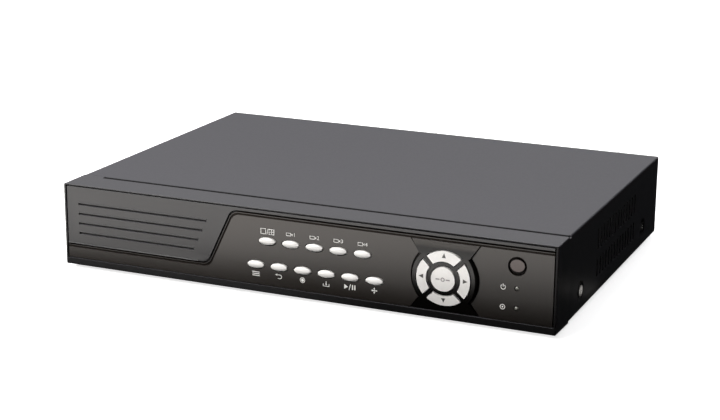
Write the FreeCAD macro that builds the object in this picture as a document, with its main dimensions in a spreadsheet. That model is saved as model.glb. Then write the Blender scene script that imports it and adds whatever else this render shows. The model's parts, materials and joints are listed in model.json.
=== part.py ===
import FreeCAD, Part
import Sketcher
import math
import os
import re

# Desktop video recorder: a sheet-metal case with a moulded front, keys, rear
# sockets, a fan, a main board and a disk drive. Millimetres, +Z up, front to -Y.
# Every piece is drawn in the case frame (origin at the front's lower left
# corner) and its Placement moves it to the row frame, whose origin is the
# middle of the bounding box at the surface the feet stand on.

doc = FreeCAD.newDocument("recorder")
sheet = doc.addObject("Spreadsheet::Sheet", "dims")

DIMENSIONS = {
    # case
    "case_width": 344.0,
    "case_depth": 243.9,
    "case_height": 55.6,
    "foot_height": 3.5,
    "sheet_gauge": 1.0,
    "tiny_gap": 0.05,
    # moulded front
    "bezel_depth": 26.5,
    "bezel_drop": 0.3,
    "bezel_sag": 1.0,
    "bezel_wall": 2.5,
    "rim_side": 1.5,
    "rim_top": 0.5,
    "rim_round": 0.3,
    "lip_height": 4.3,
    "recess_depth": 3.0,
    "step_front": 22.2,
    "step_deep": 1.2,
    "roof_front": 25.2,
    "roof_left": 16.5,
    "ledge_back": 5.5,
    "edge_round": 0.8,
    "inlay_gap": 0.6,
    "side_gap": 0.9,
    "top_gap": 1.0,
    "inlay_set_back": 0.3,
    "window_left": 135.5,
    "window_right": 326.0,
    "window_low": 7.0,
    "window_high": 50.0,
    # seam between the two inlays
    "seam_high": 51.8,
    "seam_low": 14.2,
    "seam_foot": 108.5,
    "seam_slope": 0.471,
    "seam_gap": 1.2,
    "seam_round": 7.0,
    "trim_offset": 1.65,
    "trim_width": 1.3,
    "trim_deep": 0.8,
    # louvre grooves on the grille inlay
    "louvre_low": 22.3,
    "louvre_pitch": 6.7,
    "louvre_count": 4,
    "louvre_width": 1.5,
    "louvre_deep": 1.6,
    "louvre_left": 11.0,
    "louvre_margin": 13.9,
    "bead_width": 0.7,
    "bead_proud": 0.35,
    "sill_rise": 1.3,
    "sill_proud": 0.6,
    # oval buttons
    "button_pitch": 16.5,
    "lower_row_start": 143.5,
    "lower_row_level": 18.1,
    "upper_row_start": 151.75,
    "upper_row_level": 34.35,
    "button_long": 5.8,
    "button_short": 2.45,
    "button_gap": 0.6,
    "button_proud": 1.3,
    "button_crown": 2.3,
    "button_flange": 1.3,
    "button_flange_thick": 1.0,
    "button_post": 1.6,
    "key_travel": 0.9,
    # navigation pad
    "pad_across": 272.7,
    "pad_level": 26.6,
    "pad_base": 21.6,
    "pad_top": 20.1,
    "pad_proud": 3.0,
    "pad_arch": 85.0,
    "pad_arch_level": 28.2,
    "pad_neck": 16.3,
    "pad_neck_rise": 14.2,
    "pad_flare": 22.0,
    "moat_width": 0.9,
    "moat_deep": 1.0,
    "key_outer": 17.5,
    "key_inner": 11.2,
    "key_gap": 0.6,
    "key_proud": 0.6,
    "spoke_width": 3.4,
    "enter_radius": 7.75,
    "enter_proud": 1.0,
    # remote window and lamps
    "lamp_across": 318.7,
    "window_level": 40.1,
    "window_hole": 6.0,
    "window_disc": 4.8,
    "window_moat": 1.6,
    "power_lamp_level": 26.1,
    "disk_lamp_level": 13.5,
    "lamp_radius": 1.5,
    "lamp_leg": 0.5,
    "lamp_leg_spread": 0.9,
    # key board
    "key_board_front": 9.6,
    "board_thick": 1.6,
    "key_board_left": 128.0,
    "key_board_right": 332.4,
    "switch_side": 6.0,
    "switch_tall": 3.4,
    "switch_tip": 1.75,
    # chassis
    "front_wall_y": 23.5,
    "floor_level": 0.2,
    "front_step": 2.2,
    "flange_height": 20.0,
    "rear_face_y": 242.9,
    "rear_flange_height": 7.0,
    "vent_start": 88.0,
    "vent_pitch": 7.0,
    "vent_count": 14,
    "vent_width": 3.0,
    "vent_low": 10.5,
    "vent_low_tall": 12.5,
    "vent_high": 29.0,
    "vent_high_tall": 14.0,
    "dimple_y": 52.0,
    "dimple_rear_y": 206.0,
    "dimple_level": 12.5,
    "dimple_radius": 7.0,
    "dimple_floor": 5.0,
    "dimple_deep": 1.4,
    "lip_tall": 6.0,
    "screw_head": 3.0,
    "screw_head_tall": 2.0,
    "cover_head": 3.7,
    "cover_head_tall": 1.7,
    "screw_shank": 1.5,
    "slot_wide": 0.7,
    "slot_deep": 0.8,
    "foot_radius": 9.0,
    "foot_inset": 26.0,
    "foot_front_y": 50.0,
    "foot_rear_y": 220.0,
    # main board
    "main_left": 14.0,
    "main_right": 256.0,
    "main_front_y": 132.0,
    "main_back_y": 240.4,
    "main_level": 7.4,
    "sink_side": 36.0,
    "fin_count": 9,
    "fin_thick": 1.8,
    "can_radius": 4.0,
    "can_tall": 11.5,
    # rear sockets
    "coax_start": 160.0,
    "coax_pitch": 19.0,
    "coax_count": 5,
    "coax_level": 20.0,
    "coax_barrel": 4.8,
    "jack_reach": 12.0,
    "audio_start": 122.0,
    "audio_pitch": 14.0,
    "audio_level": 15.0,
    "audio_shell": 4.15,
    "vga_across": 92.0,
    "vga_level": 16.0,
    "usb_across": 62.0,
    "lan_across": 41.5,
    "dc_across": 24.0,
    "dc_level": 15.0,
    "terminal_across": 192.0,
    "terminal_level": 41.0,
    # fan
    "fan_side": 40.0,
    "fan_thick": 10.0,
    "fan_across": 290.0,
    "fan_level": 29.0,
    "fan_bore": 19.0,
    "fan_blade_reach": 18.2,
    "fan_hub": 10.0,
    "fan_blade_count": 7,
    "fan_screw_pitch": 32.0,
    "air_ring": 5.5,
    "air_hole": 1.9,
    # rocker
    "rocker_across": 325.5,
    "rocker_level": 29.0,
    "rocker_wide": 13.0,
    "rocker_tall": 19.0,
    # disk drive
    "drive_left": 172.0,
    "drive_front_y": 28.0,
    "drive_long": 147.0,
    "drive_wide": 101.6,
    "drive_low": 7.0,
    "drive_tall": 26.1,
    "platter_radius": 47.4,
    "platter_inset": 51.5,
    "arm_pivot_inset": 116.0,
    "arm_pivot_rise": 31.0,
    "arm_reach": 52.0,
    "arm_rest_angle": 116.2,
}

for row, (alias, amount) in enumerate(DIMENSIONS.items(), start=1):
    sheet.set(f"A{row}", alias)
    sheet.set(f"B{row}", str(amount))
    sheet.setAlias(f"B{row}", alias)
doc.recompute()

SUB_PARTS = []
FRONT_REACH = "(pad_proud + enter_proud - inlay_set_back)"
ROW_ORIGIN = ("-case_width/2", f"({FRONT_REACH} - case_depth - jack_reach)/2", "foot_height")
TURNS = {
    "Z": FreeCAD.Rotation(),
    "Y": FreeCAD.Rotation(FreeCAD.Vector(1, 0, 0), -90),
    "X": FreeCAD.Rotation(FreeCAD.Vector(0, 1, 0), 90),
}


def formula(text):
    """Write the sheet's name in front of every alias in a formula."""
    return re.sub(r"[a-z][a-z_]+", lambda word: "dims." + word[0] if word[0] in DIMENSIONS else word[0],
                  str(text))


def number(text):
    """The present value of a formula."""
    return float(sheet.evalExpression(formula(text)))


def bind(item, formulas):
    for name, text in formulas.items():
        item.setExpression(name, formula(text))


def put(item, base, turn=TURNS["Z"]):
    """Turn an object and bind its base point to three formulas."""
    item.Placement = FreeCAD.Placement(FreeCAD.Vector(), turn)
    bind(item, {"Placement.Base.x": base[0], "Placement.Base.y": base[1], "Placement.Base.z": base[2]})
    return item


def block(low, size):
    """A box from its lowest corner and its three sides."""
    item = doc.addObject("Part::Box", "block")
    bind(item, {"Length": size[0], "Width": size[1], "Height": size[2]})
    return put(item, low)


def span(low, high):
    """A box from its lowest corner to its highest."""
    size = [f"({top}) - ({bottom})" for bottom, top in zip(low, high)]
    return block(low, size)


def rod(base, radius, length, along="Y"):
    """A cylinder that starts at base and runs along an axis."""
    item = doc.addObject("Part::Cylinder", "rod")
    bind(item, {"Radius": radius, "Height": length})
    return put(item, base, TURNS[along])


def taper(base, radius, end_radius, length, along="Y"):
    """A cone that starts at base with the first radius."""
    item = doc.addObject("Part::Cone", "taper")
    bind(item, {"Radius1": radius, "Radius2": end_radius, "Height": length})
    return put(item, base, TURNS[along])


def oval(base, long_radius, short_radius, length):
    """An upright elliptical bar that runs along +Y."""
    edge = doc.addObject("Part::Ellipse", "oval_edge")
    bind(edge, {"MajorRadius": long_radius, "MinorRadius": short_radius})
    put(edge, base, FreeCAD.Rotation(FreeCAD.Vector(1, 0, 0), 90))
    bar = doc.addObject("Part::Extrusion", "oval_bar")
    bar.Base = edge
    bar.DirMode = "Custom"
    bar.Dir = FreeCAD.Vector(0, 1, 0)
    bar.Solid = True
    bind(bar, {"LengthFwd": length})
    return bar


def prism(points, start_y, length):
    """A plate with a polygonal outline in X and Z that runs along +Y."""
    body = doc.addObject("PartDesign::Body", "prism")
    sketch = outline(body, "XZ_Plane", f"-({start_y})", points)
    pad(body, sketch, length, True)
    return body


def fuse(*pieces):
    if len(pieces) == 1:
        return pieces[0]
    item = doc.addObject("Part::MultiFuse", "joined")
    item.Shapes = list(pieces)
    return item


def cut(base, *tools):
    item = doc.addObject("Part::Cut", "trimmed")
    item.Base = base
    item.Tool = fuse(*tools)
    return item


def common(first, second):
    item = doc.addObject("Part::Common", "shared")
    item.Base = first
    item.Tool = second
    return item


def group(*pieces):
    """Separate identical solids that share one node."""
    item = doc.addObject("Part::Compound", "group")
    item.Links = list(pieces)
    return item


def rounded(base, radius, wanted):
    """Fillet the edges whose middle point satisfies a test."""
    doc.recompute()
    item = doc.addObject("Part::Fillet", "rounded")
    item.Base = base
    size = number(radius)
    item.Edges = [(index, size, size) for index, edge in enumerate(base.Shape.Edges, start=1)
                  if wanted(edge)]
    return item


def name_part(item, label):
    """Label a finished sub-part and place it in the row frame."""
    item.Label = label
    put(item, ROW_ORIGIN)
    SUB_PARTS.append(item)
    return item


def plane_of(body, role):
    return [feature for feature in body.Origin.OriginFeatures if feature.Role == role][0]


def outline(body, role, offset, points):
    """A closed sketch whose corners are bound to formulas, on a plane offset along its normal."""
    sketch = body.newObject("Sketcher::SketchObject", "outline")
    sketch.AttachmentSupport = [(plane_of(body, role), "")]
    sketch.MapMode = "FlatFace"
    bind(sketch, {"AttachmentOffset.Base.z": offset})
    corners = [FreeCAD.Vector(number(across), number(up), 0) for across, up in points]
    last = len(corners)
    for index in range(last):
        sketch.addGeometry(Part.LineSegment(corners[index], corners[(index + 1) % last]), False)
    for index in range(last):
        sketch.addConstraint(Sketcher.Constraint("Coincident", index, 2, (index + 1) % last, 1))
    for index, (across, up) in enumerate(points):
        corner = corners[index]
        for kind, text, amount in (("DistanceX", across, corner.x), ("DistanceY", up, corner.y)):
            place = sketch.addConstraint(Sketcher.Constraint(kind, -1, 1, index, 1, amount))
            sketch.setExpression(f"Constraints[{place}]", formula(text))
    return sketch


def rectangle(low, high):
    return [(low[0], low[1]), (high[0], low[1]), (high[0], high[1]), (low[0], high[1])]


def circles(body, role, offset, centres, radius):
    """A sketch of equal circles with bound centres and radius."""
    sketch = body.newObject("Sketcher::SketchObject", "circles")
    sketch.AttachmentSupport = [(plane_of(body, role), "")]
    sketch.MapMode = "FlatFace"
    bind(sketch, {"AttachmentOffset.Base.z": offset})
    for index, (across, up) in enumerate(centres):
        centre = FreeCAD.Vector(number(across), number(up), 0)
        sketch.addGeometry(Part.Circle(centre, FreeCAD.Vector(0, 0, 1), number(radius)), False)
        rules = (("DistanceX", (-1, 1, index, 3, centre.x), across),
                 ("DistanceY", (-1, 1, index, 3, centre.y), up),
                 ("Radius", (index, number(radius)), radius))
        for kind, values, text in rules:
            place = sketch.addConstraint(Sketcher.Constraint(kind, *values))
            sketch.setExpression(f"Constraints[{place}]", formula(text))
    return sketch


def pad(body, sketch, length, reverse=False):
    feature = body.newObject("PartDesign::Pad", "pad")
    feature.Profile = sketch
    feature.Reversed = reverse
    bind(feature, {"Length": length})
    return feature


def pocket(body, sketch, length, reverse=False):
    """Cut a sketch into the body and make sure that it removed something."""
    doc.recompute()
    before = body.Shape.Volume
    feature = body.newObject("PartDesign::Pocket", "pocket")
    feature.Profile = sketch
    feature.Reversed = reverse
    bind(feature, {"Length": length})
    doc.recompute()
    if body.Shape.Volume >= before:
        raise ValueError(f"a pocket in {body.Label} cuts nothing")
    return feature


def soften(body, radius, wanted):
    """Fillet the body's edges that satisfy a test."""
    doc.recompute()
    base = body.Tip
    names = [f"Edge{index}" for index, edge in enumerate(base.Shape.Edges, start=1) if wanted(edge)]
    feature = body.newObject("PartDesign::Fillet", "soften")
    feature.Base = (base, names)
    bind(feature, {"Radius": radius})
    return feature


def middle(edge):
    return edge.valueAt((edge.FirstParameter + edge.LastParameter)/2)


def close(first, second, slack=0.01):
    return abs(first - second) < slack


# Moulded front --------------------------------------------------------------

BEZEL_BOSSES = (("8.5", "12"), ("8.5", "44"), ("case_width - 7", "10"), ("case_width - 7", "46"))
KEY_BOARD_POSTS = (("131.5", "12"), ("131.5", "46"), ("329.5", "20"), ("329.5", "36"))


def make_front_bezel():
    body = doc.addObject("PartDesign::Body", "front_bezel")
    profile = outline(body, "YZ_Plane", "0", [("0", "-bezel_drop"), ("0", "case_height"),
                      ("bezel_depth", "case_height"), ("bezel_depth", "-bezel_sag")])
    pad(body, profile, "case_width")
    height = number("case_height")
    depth = number("bezel_depth")
    soften(body, "edge_round", lambda edge: 0.01 < middle(edge).y < depth - 0.01
           or middle(edge).y < 0.01 and middle(edge).z < height - 0.01)
    soften(body, "rim_round", lambda edge: close(middle(edge).z, height) and middle(edge).y < 0.01)
    step = outline(body, "YZ_Plane", "roof_left", rectangle(
        ("step_front", "case_height - step_deep"), ("bezel_depth", "case_height + 1")))
    pocket(body, step, "case_width", True)
    recess = outline(body, "XZ_Plane", "0", rectangle(
        ("rim_side", "lip_height"), ("case_width - rim_side", "case_height - rim_top")))
    pocket(body, recess, "recess_depth")
    opening = outline(body, "XZ_Plane", "0", rectangle(
        ("window_left", "window_low"), ("window_right", "window_high")))
    pocket(body, opening, "ledge_back")
    hollow = outline(body, "XZ_Plane", "-bezel_depth", rectangle(
        ("bezel_wall", "bezel_wall - bezel_sag"), ("case_width - bezel_wall", "case_height - bezel_wall")))
    pocket(body, hollow, "bezel_depth - ledge_back", True)
    bosses = circles(body, "XZ_Plane", "-ledge_back", BEZEL_BOSSES, "screw_head")
    pad(body, bosses, "front_wall_y - ledge_back", True)
    posts = circles(body, "XZ_Plane", "-ledge_back", KEY_BOARD_POSTS, "screw_head - 0.5")
    pad(body, posts, "key_board_front - ledge_back", True)
    pilots = circles(body, "XZ_Plane", "-front_wall_y", BEZEL_BOSSES, "screw_shank")
    pocket(body, pilots, "front_wall_y - ledge_back - 2", True)
    post_pilots = circles(body, "XZ_Plane", "-key_board_front", KEY_BOARD_POSTS, "screw_shank")
    pocket(body, post_pilots, "key_board_front - ledge_back - 0.5", True)
    name_part(body, "front_bezel")


SIDE_LEFT = "rim_side + side_gap"
SIDE_RIGHT = "case_width - rim_side - side_gap"
INLAY_LOW = "lip_height + inlay_gap"
INLAY_HIGH = "case_height - rim_top - top_gap"
INLAY_THICK = "recess_depth - inlay_set_back"
SLANT = "sqrt(1 + seam_slope*seam_slope)"


def seam_point(level, offset):
    """Where the slanting seam, moved sideways by an offset, crosses a level."""
    return f"seam_foot + seam_slope*(({level}) - seam_low) + ({offset})*{SLANT}"


def seam_line(offset):
    """The stepped seam moved towards the control side by an offset, from right to left."""
    high = f"seam_high - ({offset})"
    low = f"seam_low - ({offset})"
    return [(SIDE_RIGHT, high), (seam_point(high, offset), high),
            (seam_point(low, offset), low), (SIDE_LEFT, low)]


def is_seam_corner(edge):
    """The two edges along Y where the seam turns from level to slanting."""
    point = middle(edge)
    return (edge.BoundBox.YLength > 0.5 and edge.BoundBox.XLength < 0.01
            and 100 < point.x < 135 and number("seam_low") - 4 < point.z < number("seam_high") + 1)


def make_grille_plate():
    body = doc.addObject("PartDesign::Body", "grille_plate")
    edge = seam_line("-seam_gap/2")
    shape = [(SIDE_LEFT, INLAY_HIGH), (SIDE_RIGHT, INLAY_HIGH)] + edge
    pad(body, outline(body, "XZ_Plane", "-inlay_set_back", shape), INLAY_THICK, True)
    soften(body, "seam_round", is_seam_corner)
    for index in range(int(number("louvre_count"))):
        level = f"louvre_low + {index}*louvre_pitch"
        right = seam_point(level, "0") + " - louvre_margin"
        groove = outline(body, "XZ_Plane", "-inlay_set_back", rectangle(
            ("louvre_left", f"{level} - louvre_width/2"), (right, f"{level} + louvre_width/2")))
        pocket(body, groove, "louvre_deep")
        bead = outline(body, "XZ_Plane", "-inlay_set_back - 0.2", rectangle(
            ("louvre_left", f"{level} + louvre_width/2"), (right, f"{level} + louvre_width/2 + bead_width")))
        pad(body, bead, "bead_proud + 0.2")
    low = "seam_low + seam_gap/2"
    sill = outline(body, "YZ_Plane", SIDE_LEFT, [
        ("inlay_set_back + 0.2", low), ("inlay_set_back - sill_proud", low),
        ("inlay_set_back", f"{low} + sill_rise"), ("inlay_set_back + 0.2", f"{low} + sill_rise")])
    pad(body, sill, f"seam_foot - seam_round - ({SIDE_LEFT})")
    name_part(body, "grille_plate")


def button_places():
    """Name, across and level of each oval button."""
    upper = ["display_button"] + [f"channel_{index}_button" for index in (1, 2, 3, 4)]
    lower = ["menu_button", "escape_button", "record_button", "backup_button", "play_button", "camera_button"]
    places = []
    for index, name in enumerate(upper):
        places.append((name, f"upper_row_start + {index}*button_pitch", "upper_row_level"))
    for index, name in enumerate(lower):
        places.append((name, f"lower_row_start + {index}*button_pitch", "lower_row_level"))
    return places


def make_control_plate():
    body = doc.addObject("PartDesign::Body", "control_blank")
    shape = [(SIDE_LEFT, INLAY_LOW), (SIDE_RIGHT, INLAY_LOW)] + seam_line("seam_gap/2")
    pad(body, outline(body, "XZ_Plane", "-inlay_set_back", shape), INLAY_THICK, True)
    soften(body, "seam_round", is_seam_corner)
    near = seam_line("trim_offset - trim_width/2")
    far = seam_line("trim_offset + trim_width/2")
    near[0] = ("case_width", near[0][1])
    far[0] = ("case_width", far[0][1])
    near[3] = ("0", near[3][1])
    far[3] = ("0", far[3][1])
    trim = doc.addObject("PartDesign::Body", "trim_cutter")
    ring = outline(trim, "XZ_Plane", "-inlay_set_back + 1", near + far[::-1])
    pad(trim, ring, "trim_deep + 1", True)
    soften(trim, "seam_round", is_seam_corner)
    tools = [trim]
    for name, across, level in button_places():
        tools.append(oval((across, "-1", level), "button_long + button_gap",
                          "button_short + button_gap", "8"))
    tools.append(rod(("pad_across", "-1", "pad_level"), "key_outer + 1.2", "8"))
    tools.append(rod(("lamp_across", "-1", "window_level"), "window_hole",
                     "1 + inlay_set_back + window_moat"))
    tools.append(rod(("lamp_across", "-1", "window_level"), "window_disc + tiny_gap", "8"))
    for level in ("power_lamp_level", "disk_lamp_level"):
        tools.append(rod(("lamp_across", "-1", level), "lamp_radius + tiny_gap", "8"))
    tools.append(rod(("pad_across", "-1", "pad_level"), "pad_base + moat_width",
                     "1 + inlay_set_back + moat_deep"))
    for direction, edge_level in FLARES:
        tools.append(flare(direction, edge_level, "moat_width"))
    name_part(cut(body, *tools), "control_plate")


# Navigation pad ---------------------------------------------------------------

ARCH_Y = "inlay_set_back - pad_proud + pad_arch"
FLARES = (("1", "seam_high - 1.4*trim_offset"), ("-1", INLAY_LOW))


def arch(extra):
    """The lying cylinder that gives the pad and its keys their crown."""
    return rod(("pad_across - 40", ARCH_Y, "pad_arch_level"), f"pad_arch + ({extra})", "80", "X")


def flare(direction, edge_level, extra):
    """A trapezium that widens from the pad's neck towards the plate's edge, down to the moat's floor."""
    neck = f"pad_level + ({direction})*pad_neck_rise"
    points = [(f"pad_across - pad_neck - ({extra})", neck), (f"pad_across + pad_neck + ({extra})", neck),
              (f"pad_across + pad_flare + ({extra})", edge_level),
              (f"pad_across - pad_flare - ({extra})", edge_level)]
    return prism(points, "inlay_set_back - pad_proud - 1", "pad_proud + 1 + moat_deep")


def sector(inner, outer, start_y, length, spoke):
    """The four keys' ring, cut by the two diagonal spokes."""
    ring = cut(rod(("pad_across", start_y, "pad_level"), outer, length),
               rod(("pad_across", f"{start_y} - 1", "pad_level"), inner, f"{length} + 2"))
    bars = []
    for angle in (45, -45):
        bar = doc.addObject("Part::Box", "spoke")
        bind(bar, {"Length": "60", "Width": f"{length} + 2", "Height": spoke})
        turn = FreeCAD.Rotation(FreeCAD.Vector(0, 1, 0), -angle)
        cosine = math.cos(math.radians(angle))
        sine = math.sin(math.radians(angle))
        put(bar, (f"pad_across - 30*{cosine} + ({spoke})/2*{sine}", f"{start_y} - 1",
                  f"pad_level - 30*{sine} - ({spoke})/2*{cosine}"), turn)
        bars.append(bar)
    return cut(ring, *bars)


def make_pad_boss():
    cone = taper(("pad_across", "inlay_set_back - pad_proud - 1", "pad_level"), "pad_top", "pad_base",
                 "pad_proud + 1")
    foot = rod(("pad_across", "inlay_set_back", "pad_level"), "pad_base", "moat_deep")
    flares = [flare(direction, edge_level, "0") for direction, edge_level in FLARES]
    crowned = common(fuse(cone, foot, *flares), arch("0"))
    spigot = rod(("pad_across", "inlay_set_back", "pad_level"), "key_outer + 1.1", INLAY_THICK)
    keys = sector("key_inner - key_gap", "key_outer + key_gap", "-8", "20", "spoke_width - 2*key_gap")
    centre = rod(("pad_across", "-8", "pad_level"), "enter_radius + key_gap", "20")
    name_part(cut(fuse(crowned, spigot), keys, centre), "navigation_boss")


FLANGE_Y = "recess_depth + tiny_gap"
QUADRANTS = {"right_key": 0, "up_key": 90, "left_key": 180, "down_key": 270}


def quadrant(angle):
    """A wedge that keeps only the key on one side of the pad."""
    reach = 40.0
    corners = [(0.0, 0.0)]
    for turn in (angle - 45, angle + 45):
        corners.append((reach*math.cos(math.radians(turn)), reach*math.sin(math.radians(turn))))
    points = [(f"pad_across + ({across:.6f})", f"pad_level + ({up:.6f})") for across, up in corners]
    return prism(points, "-9", "22")


def make_navigation_keys():
    middle_radius = "(key_outer + key_inner)/2"
    for name, angle in QUADRANTS.items():
        stem = common(sector("key_inner", "key_outer", "-7", f"7 + {FLANGE_Y}", "spoke_width"),
                      arch("key_proud"))
        brim = sector("key_inner - 1", "key_outer + 1", FLANGE_Y, "button_flange_thick", "spoke_width - 1")
        across = f"pad_across + {middle_radius}*({math.cos(math.radians(angle)):.6f})"
        level = f"pad_level + {middle_radius}*({math.sin(math.radians(angle)):.6f})"
        post = rod((across, FLANGE_Y, level), "button_post", "button_flange_thick + 0.3")
        name_part(fuse(common(fuse(stem, brim), quadrant(angle)), post), name)
    stem = common(rod(("pad_across", "-7", "pad_level"), "enter_radius", f"7 + {FLANGE_Y}"),
                  arch("enter_proud"))
    brim = rod(("pad_across", FLANGE_Y, "pad_level"), "enter_radius + 0.9", "button_flange_thick")
    post = rod(("pad_across", FLANGE_Y, "pad_level"), "button_post", "button_flange_thick + 0.3")
    name_part(fuse(stem, brim, post), "enter_button")


def make_oval_buttons():
    for name, across, level in button_places():
        crown = doc.addObject("Part::Ellipsoid", "crown")
        bind(crown, {"Radius1": "1.25*button_short", "Radius2": "1.25*button_long",
                     "Radius3": "button_crown"})
        put(crown, (across, "inlay_set_back - button_proud + button_crown", level))
        crown_base = "inlay_set_back - button_proud + button_crown"
        blank = oval((across, "inlay_set_back - button_proud - 1", level), "button_long", "button_short",
                     "1 + button_crown")
        stem = oval((across, crown_base, level), "button_long", "button_short",
                    f"{FLANGE_Y} - ({crown_base})")
        brim = oval((across, FLANGE_Y, level), "button_long + button_flange",
                    "button_short + button_flange", "button_flange_thick")
        post = rod((across, FLANGE_Y, level), "button_post", "button_flange_thick + 0.3")
        name_part(fuse(common(blank, crown), stem, brim, post), name)


# Remote window, lamps and key board --------------------------------------------


def make_remote_window():
    disc = rod(("lamp_across", "inlay_set_back", "window_level"), "window_disc", INLAY_THICK)
    brim = rod(("lamp_across", "recess_depth", "window_level"), "window_disc + 1.2", "1")
    name_part(fuse(disc, brim), "remote_window")


def make_status_lamps():
    lamps = []
    for level in ("power_lamp_level", "disk_lamp_level"):
        tip_y = "inlay_set_back + lamp_radius"
        dome = doc.addObject("Part::Sphere", "lamp_dome")
        bind(dome, {"Radius": "lamp_radius"})
        put(dome, ("lamp_across", tip_y, level))
        shaft = rod(("lamp_across", tip_y, level), "lamp_radius", f"key_board_front - 1 - ({tip_y})")
        brim = rod(("lamp_across", "key_board_front - 2", level), "lamp_radius + 0.4", "1")
        legs = [block((f"lamp_across + ({side})*lamp_leg_spread - lamp_leg/2", "key_board_front - 1",
                       f"{level} - lamp_leg/2"), ("lamp_leg", "1", "lamp_leg")) for side in (-1, 1)]
        lamps.append(fuse(dome, shaft, brim, *legs))
    name_part(group(*lamps), "status_lamps")


def make_key_board():
    board = span(("key_board_left", "key_board_front", "6.6"),
                 ("key_board_right", "key_board_front + board_thick", "51"))
    holes = [rod((across, "key_board_front - 1", level), "screw_shank + tiny_gap", "4")
             for across, level in KEY_BOARD_POSTS]
    header = block(("150", "key_board_front + board_thick", "20"), ("24", "5", "6"))
    name_part(fuse(cut(board, *holes), header), "key_board")


def make_key_switches():
    places = [(across, level) for name, across, level in button_places()]
    places.append(("pad_across", "pad_level"))
    for angle in QUADRANTS.values():
        reach = "(key_outer + key_inner)/2"
        places.append((f"pad_across + {reach}*({math.cos(math.radians(angle)):.6f})",
                       f"pad_level + {reach}*({math.sin(math.radians(angle)):.6f})"))
    switches = []
    for across, level in places:
        case = block((f"{across} - switch_side/2", "key_board_front - switch_tall",
                      f"{level} - switch_side/2"),
                     ("switch_side", "switch_tall", "switch_side"))
        tip_y = f"{FLANGE_Y} + button_flange_thick + 0.3 + key_travel + tiny_gap"
        tip = rod((across, tip_y, level), "switch_tip", f"key_board_front - ({tip_y})")
        switches.append(fuse(case, tip))
    name_part(group(*switches), "key_switches")


def make_remote_receiver():
    case = span(("lamp_across - 3", "6.4", "window_level - 3.5"),
                ("lamp_across + 3", "key_board_front", "window_level + 3.5"))
    lens = rod(("lamp_across", "4.6", "window_level + 0.5"), "2.4", "2.2")
    name_part(fuse(case, lens), "remote_receiver")


# Sheet-metal case ---------------------------------------------------------------

COVER_LEFT = "0.4"
COVER_FRONT = "bezel_depth + 0.3"
SIDE_SCREWS = ("dimple_y", "dimple_rear_y")
REAR_SCREWS = ("30", "case_width/2", "case_width - 30")


def make_top_cover():
    outer = span((COVER_LEFT, COVER_FRONT, "floor_level"), ("case_width - 0.4", "case_depth", "case_height"))
    ridge = rounded(outer, "edge_round + 0.4",
                    lambda edge: edge.BoundBox.YLength > 50 and middle(edge).z > 20)
    inner = span((f"{COVER_LEFT} + sheet_gauge", f"{COVER_FRONT} - 1", "floor_level + sheet_gauge"),
                 ("case_width - 0.4 - sheet_gauge", "case_depth - sheet_gauge", "case_height - sheet_gauge"))
    below = span((f"{COVER_LEFT} + 2.4", f"{COVER_FRONT} - 1", "floor_level - 1"),
                 ("case_width - 2.8", "case_depth + 1", "floor_level + 2"))
    behind = span((f"{COVER_LEFT} + sheet_gauge", "case_depth - 2", "floor_level + 0.5"),
                  ("case_width - 0.4 - sheet_gauge", "case_depth + 1", "case_height - lip_tall"))
    tongue = span(("roof_left + 0.3", "roof_front", "case_height - sheet_gauge"),
                  ("case_width - 0.8 - edge_round", COVER_FRONT, "case_height"))
    shell = fuse(cut(ridge, inner, below, behind), tongue)
    vents = []
    for index in range(int(number("vent_count"))):
        for low, tall in (("vent_low", "vent_low_tall"), ("vent_high", "vent_high_tall")):
            vents.append(block(("-1", f"vent_start + {index}*vent_pitch", low),
                               ("case_width + 2", "vent_width", tall)))
    cups = []
    sinks = []
    for place in SIDE_SCREWS:
        cups.append(taper((COVER_LEFT, place, "dimple_level"), "dimple_radius + 0.8", "dimple_floor + 0.8",
                          "dimple_deep + sheet_gauge", "X"))
        sinks.append(taper((COVER_LEFT, place, "dimple_level"), "dimple_radius", "dimple_floor",
                           "dimple_deep", "X"))
        cups.append(taper((f"case_width - {COVER_LEFT} - dimple_deep - sheet_gauge", place, "dimple_level"),
                          "dimple_floor + 0.8", "dimple_radius + 0.8", "dimple_deep + sheet_gauge", "X"))
        sinks.append(taper((f"case_width - {COVER_LEFT} - dimple_deep", place, "dimple_level"),
                           "dimple_floor", "dimple_radius", "dimple_deep", "X"))
        sinks.append(rod(("-1", place, "dimple_level"), "screw_shank + 0.2", "case_width + 2", "X"))
    for across in REAR_SCREWS:
        sinks.append(rod((across, "case_depth - 3", "case_height - lip_tall/2"), "screw_shank + 0.1", "6"))
    name_part(cut(fuse(cut(shell, *vents), *cups), *sinks), "top_cover")


FLANGE_OUT = "(0.4 + dimple_deep + sheet_gauge)"
FOOT_PLACES = tuple((across, along) for across in ("foot_inset", "case_width - foot_inset")
                    for along in ("foot_front_y", "foot_rear_y"))
BOARD_PLACES = tuple((across, along)
                     for across in ("main_left + 6", "(main_left + main_right)/2", "main_right - 6")
                     for along in ("main_front_y + 6", "main_back_y - 30"))
BRACKET_PLACES = tuple((across, along) for across in ("drive_left - 7", "drive_left + drive_long + 7")
                       for along in ("drive_front_y + 16", "drive_front_y + drive_wide - 16"))
REAR_PANEL_SCREWS = ("12", "112", "250", "case_width - 12")
REAR_SCREW_LEVEL = "4.2"
REAR_INNER = "(rear_face_y - sheet_gauge)"
FLOOR_TOP = "(floor_level + sheet_gauge)"


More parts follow.
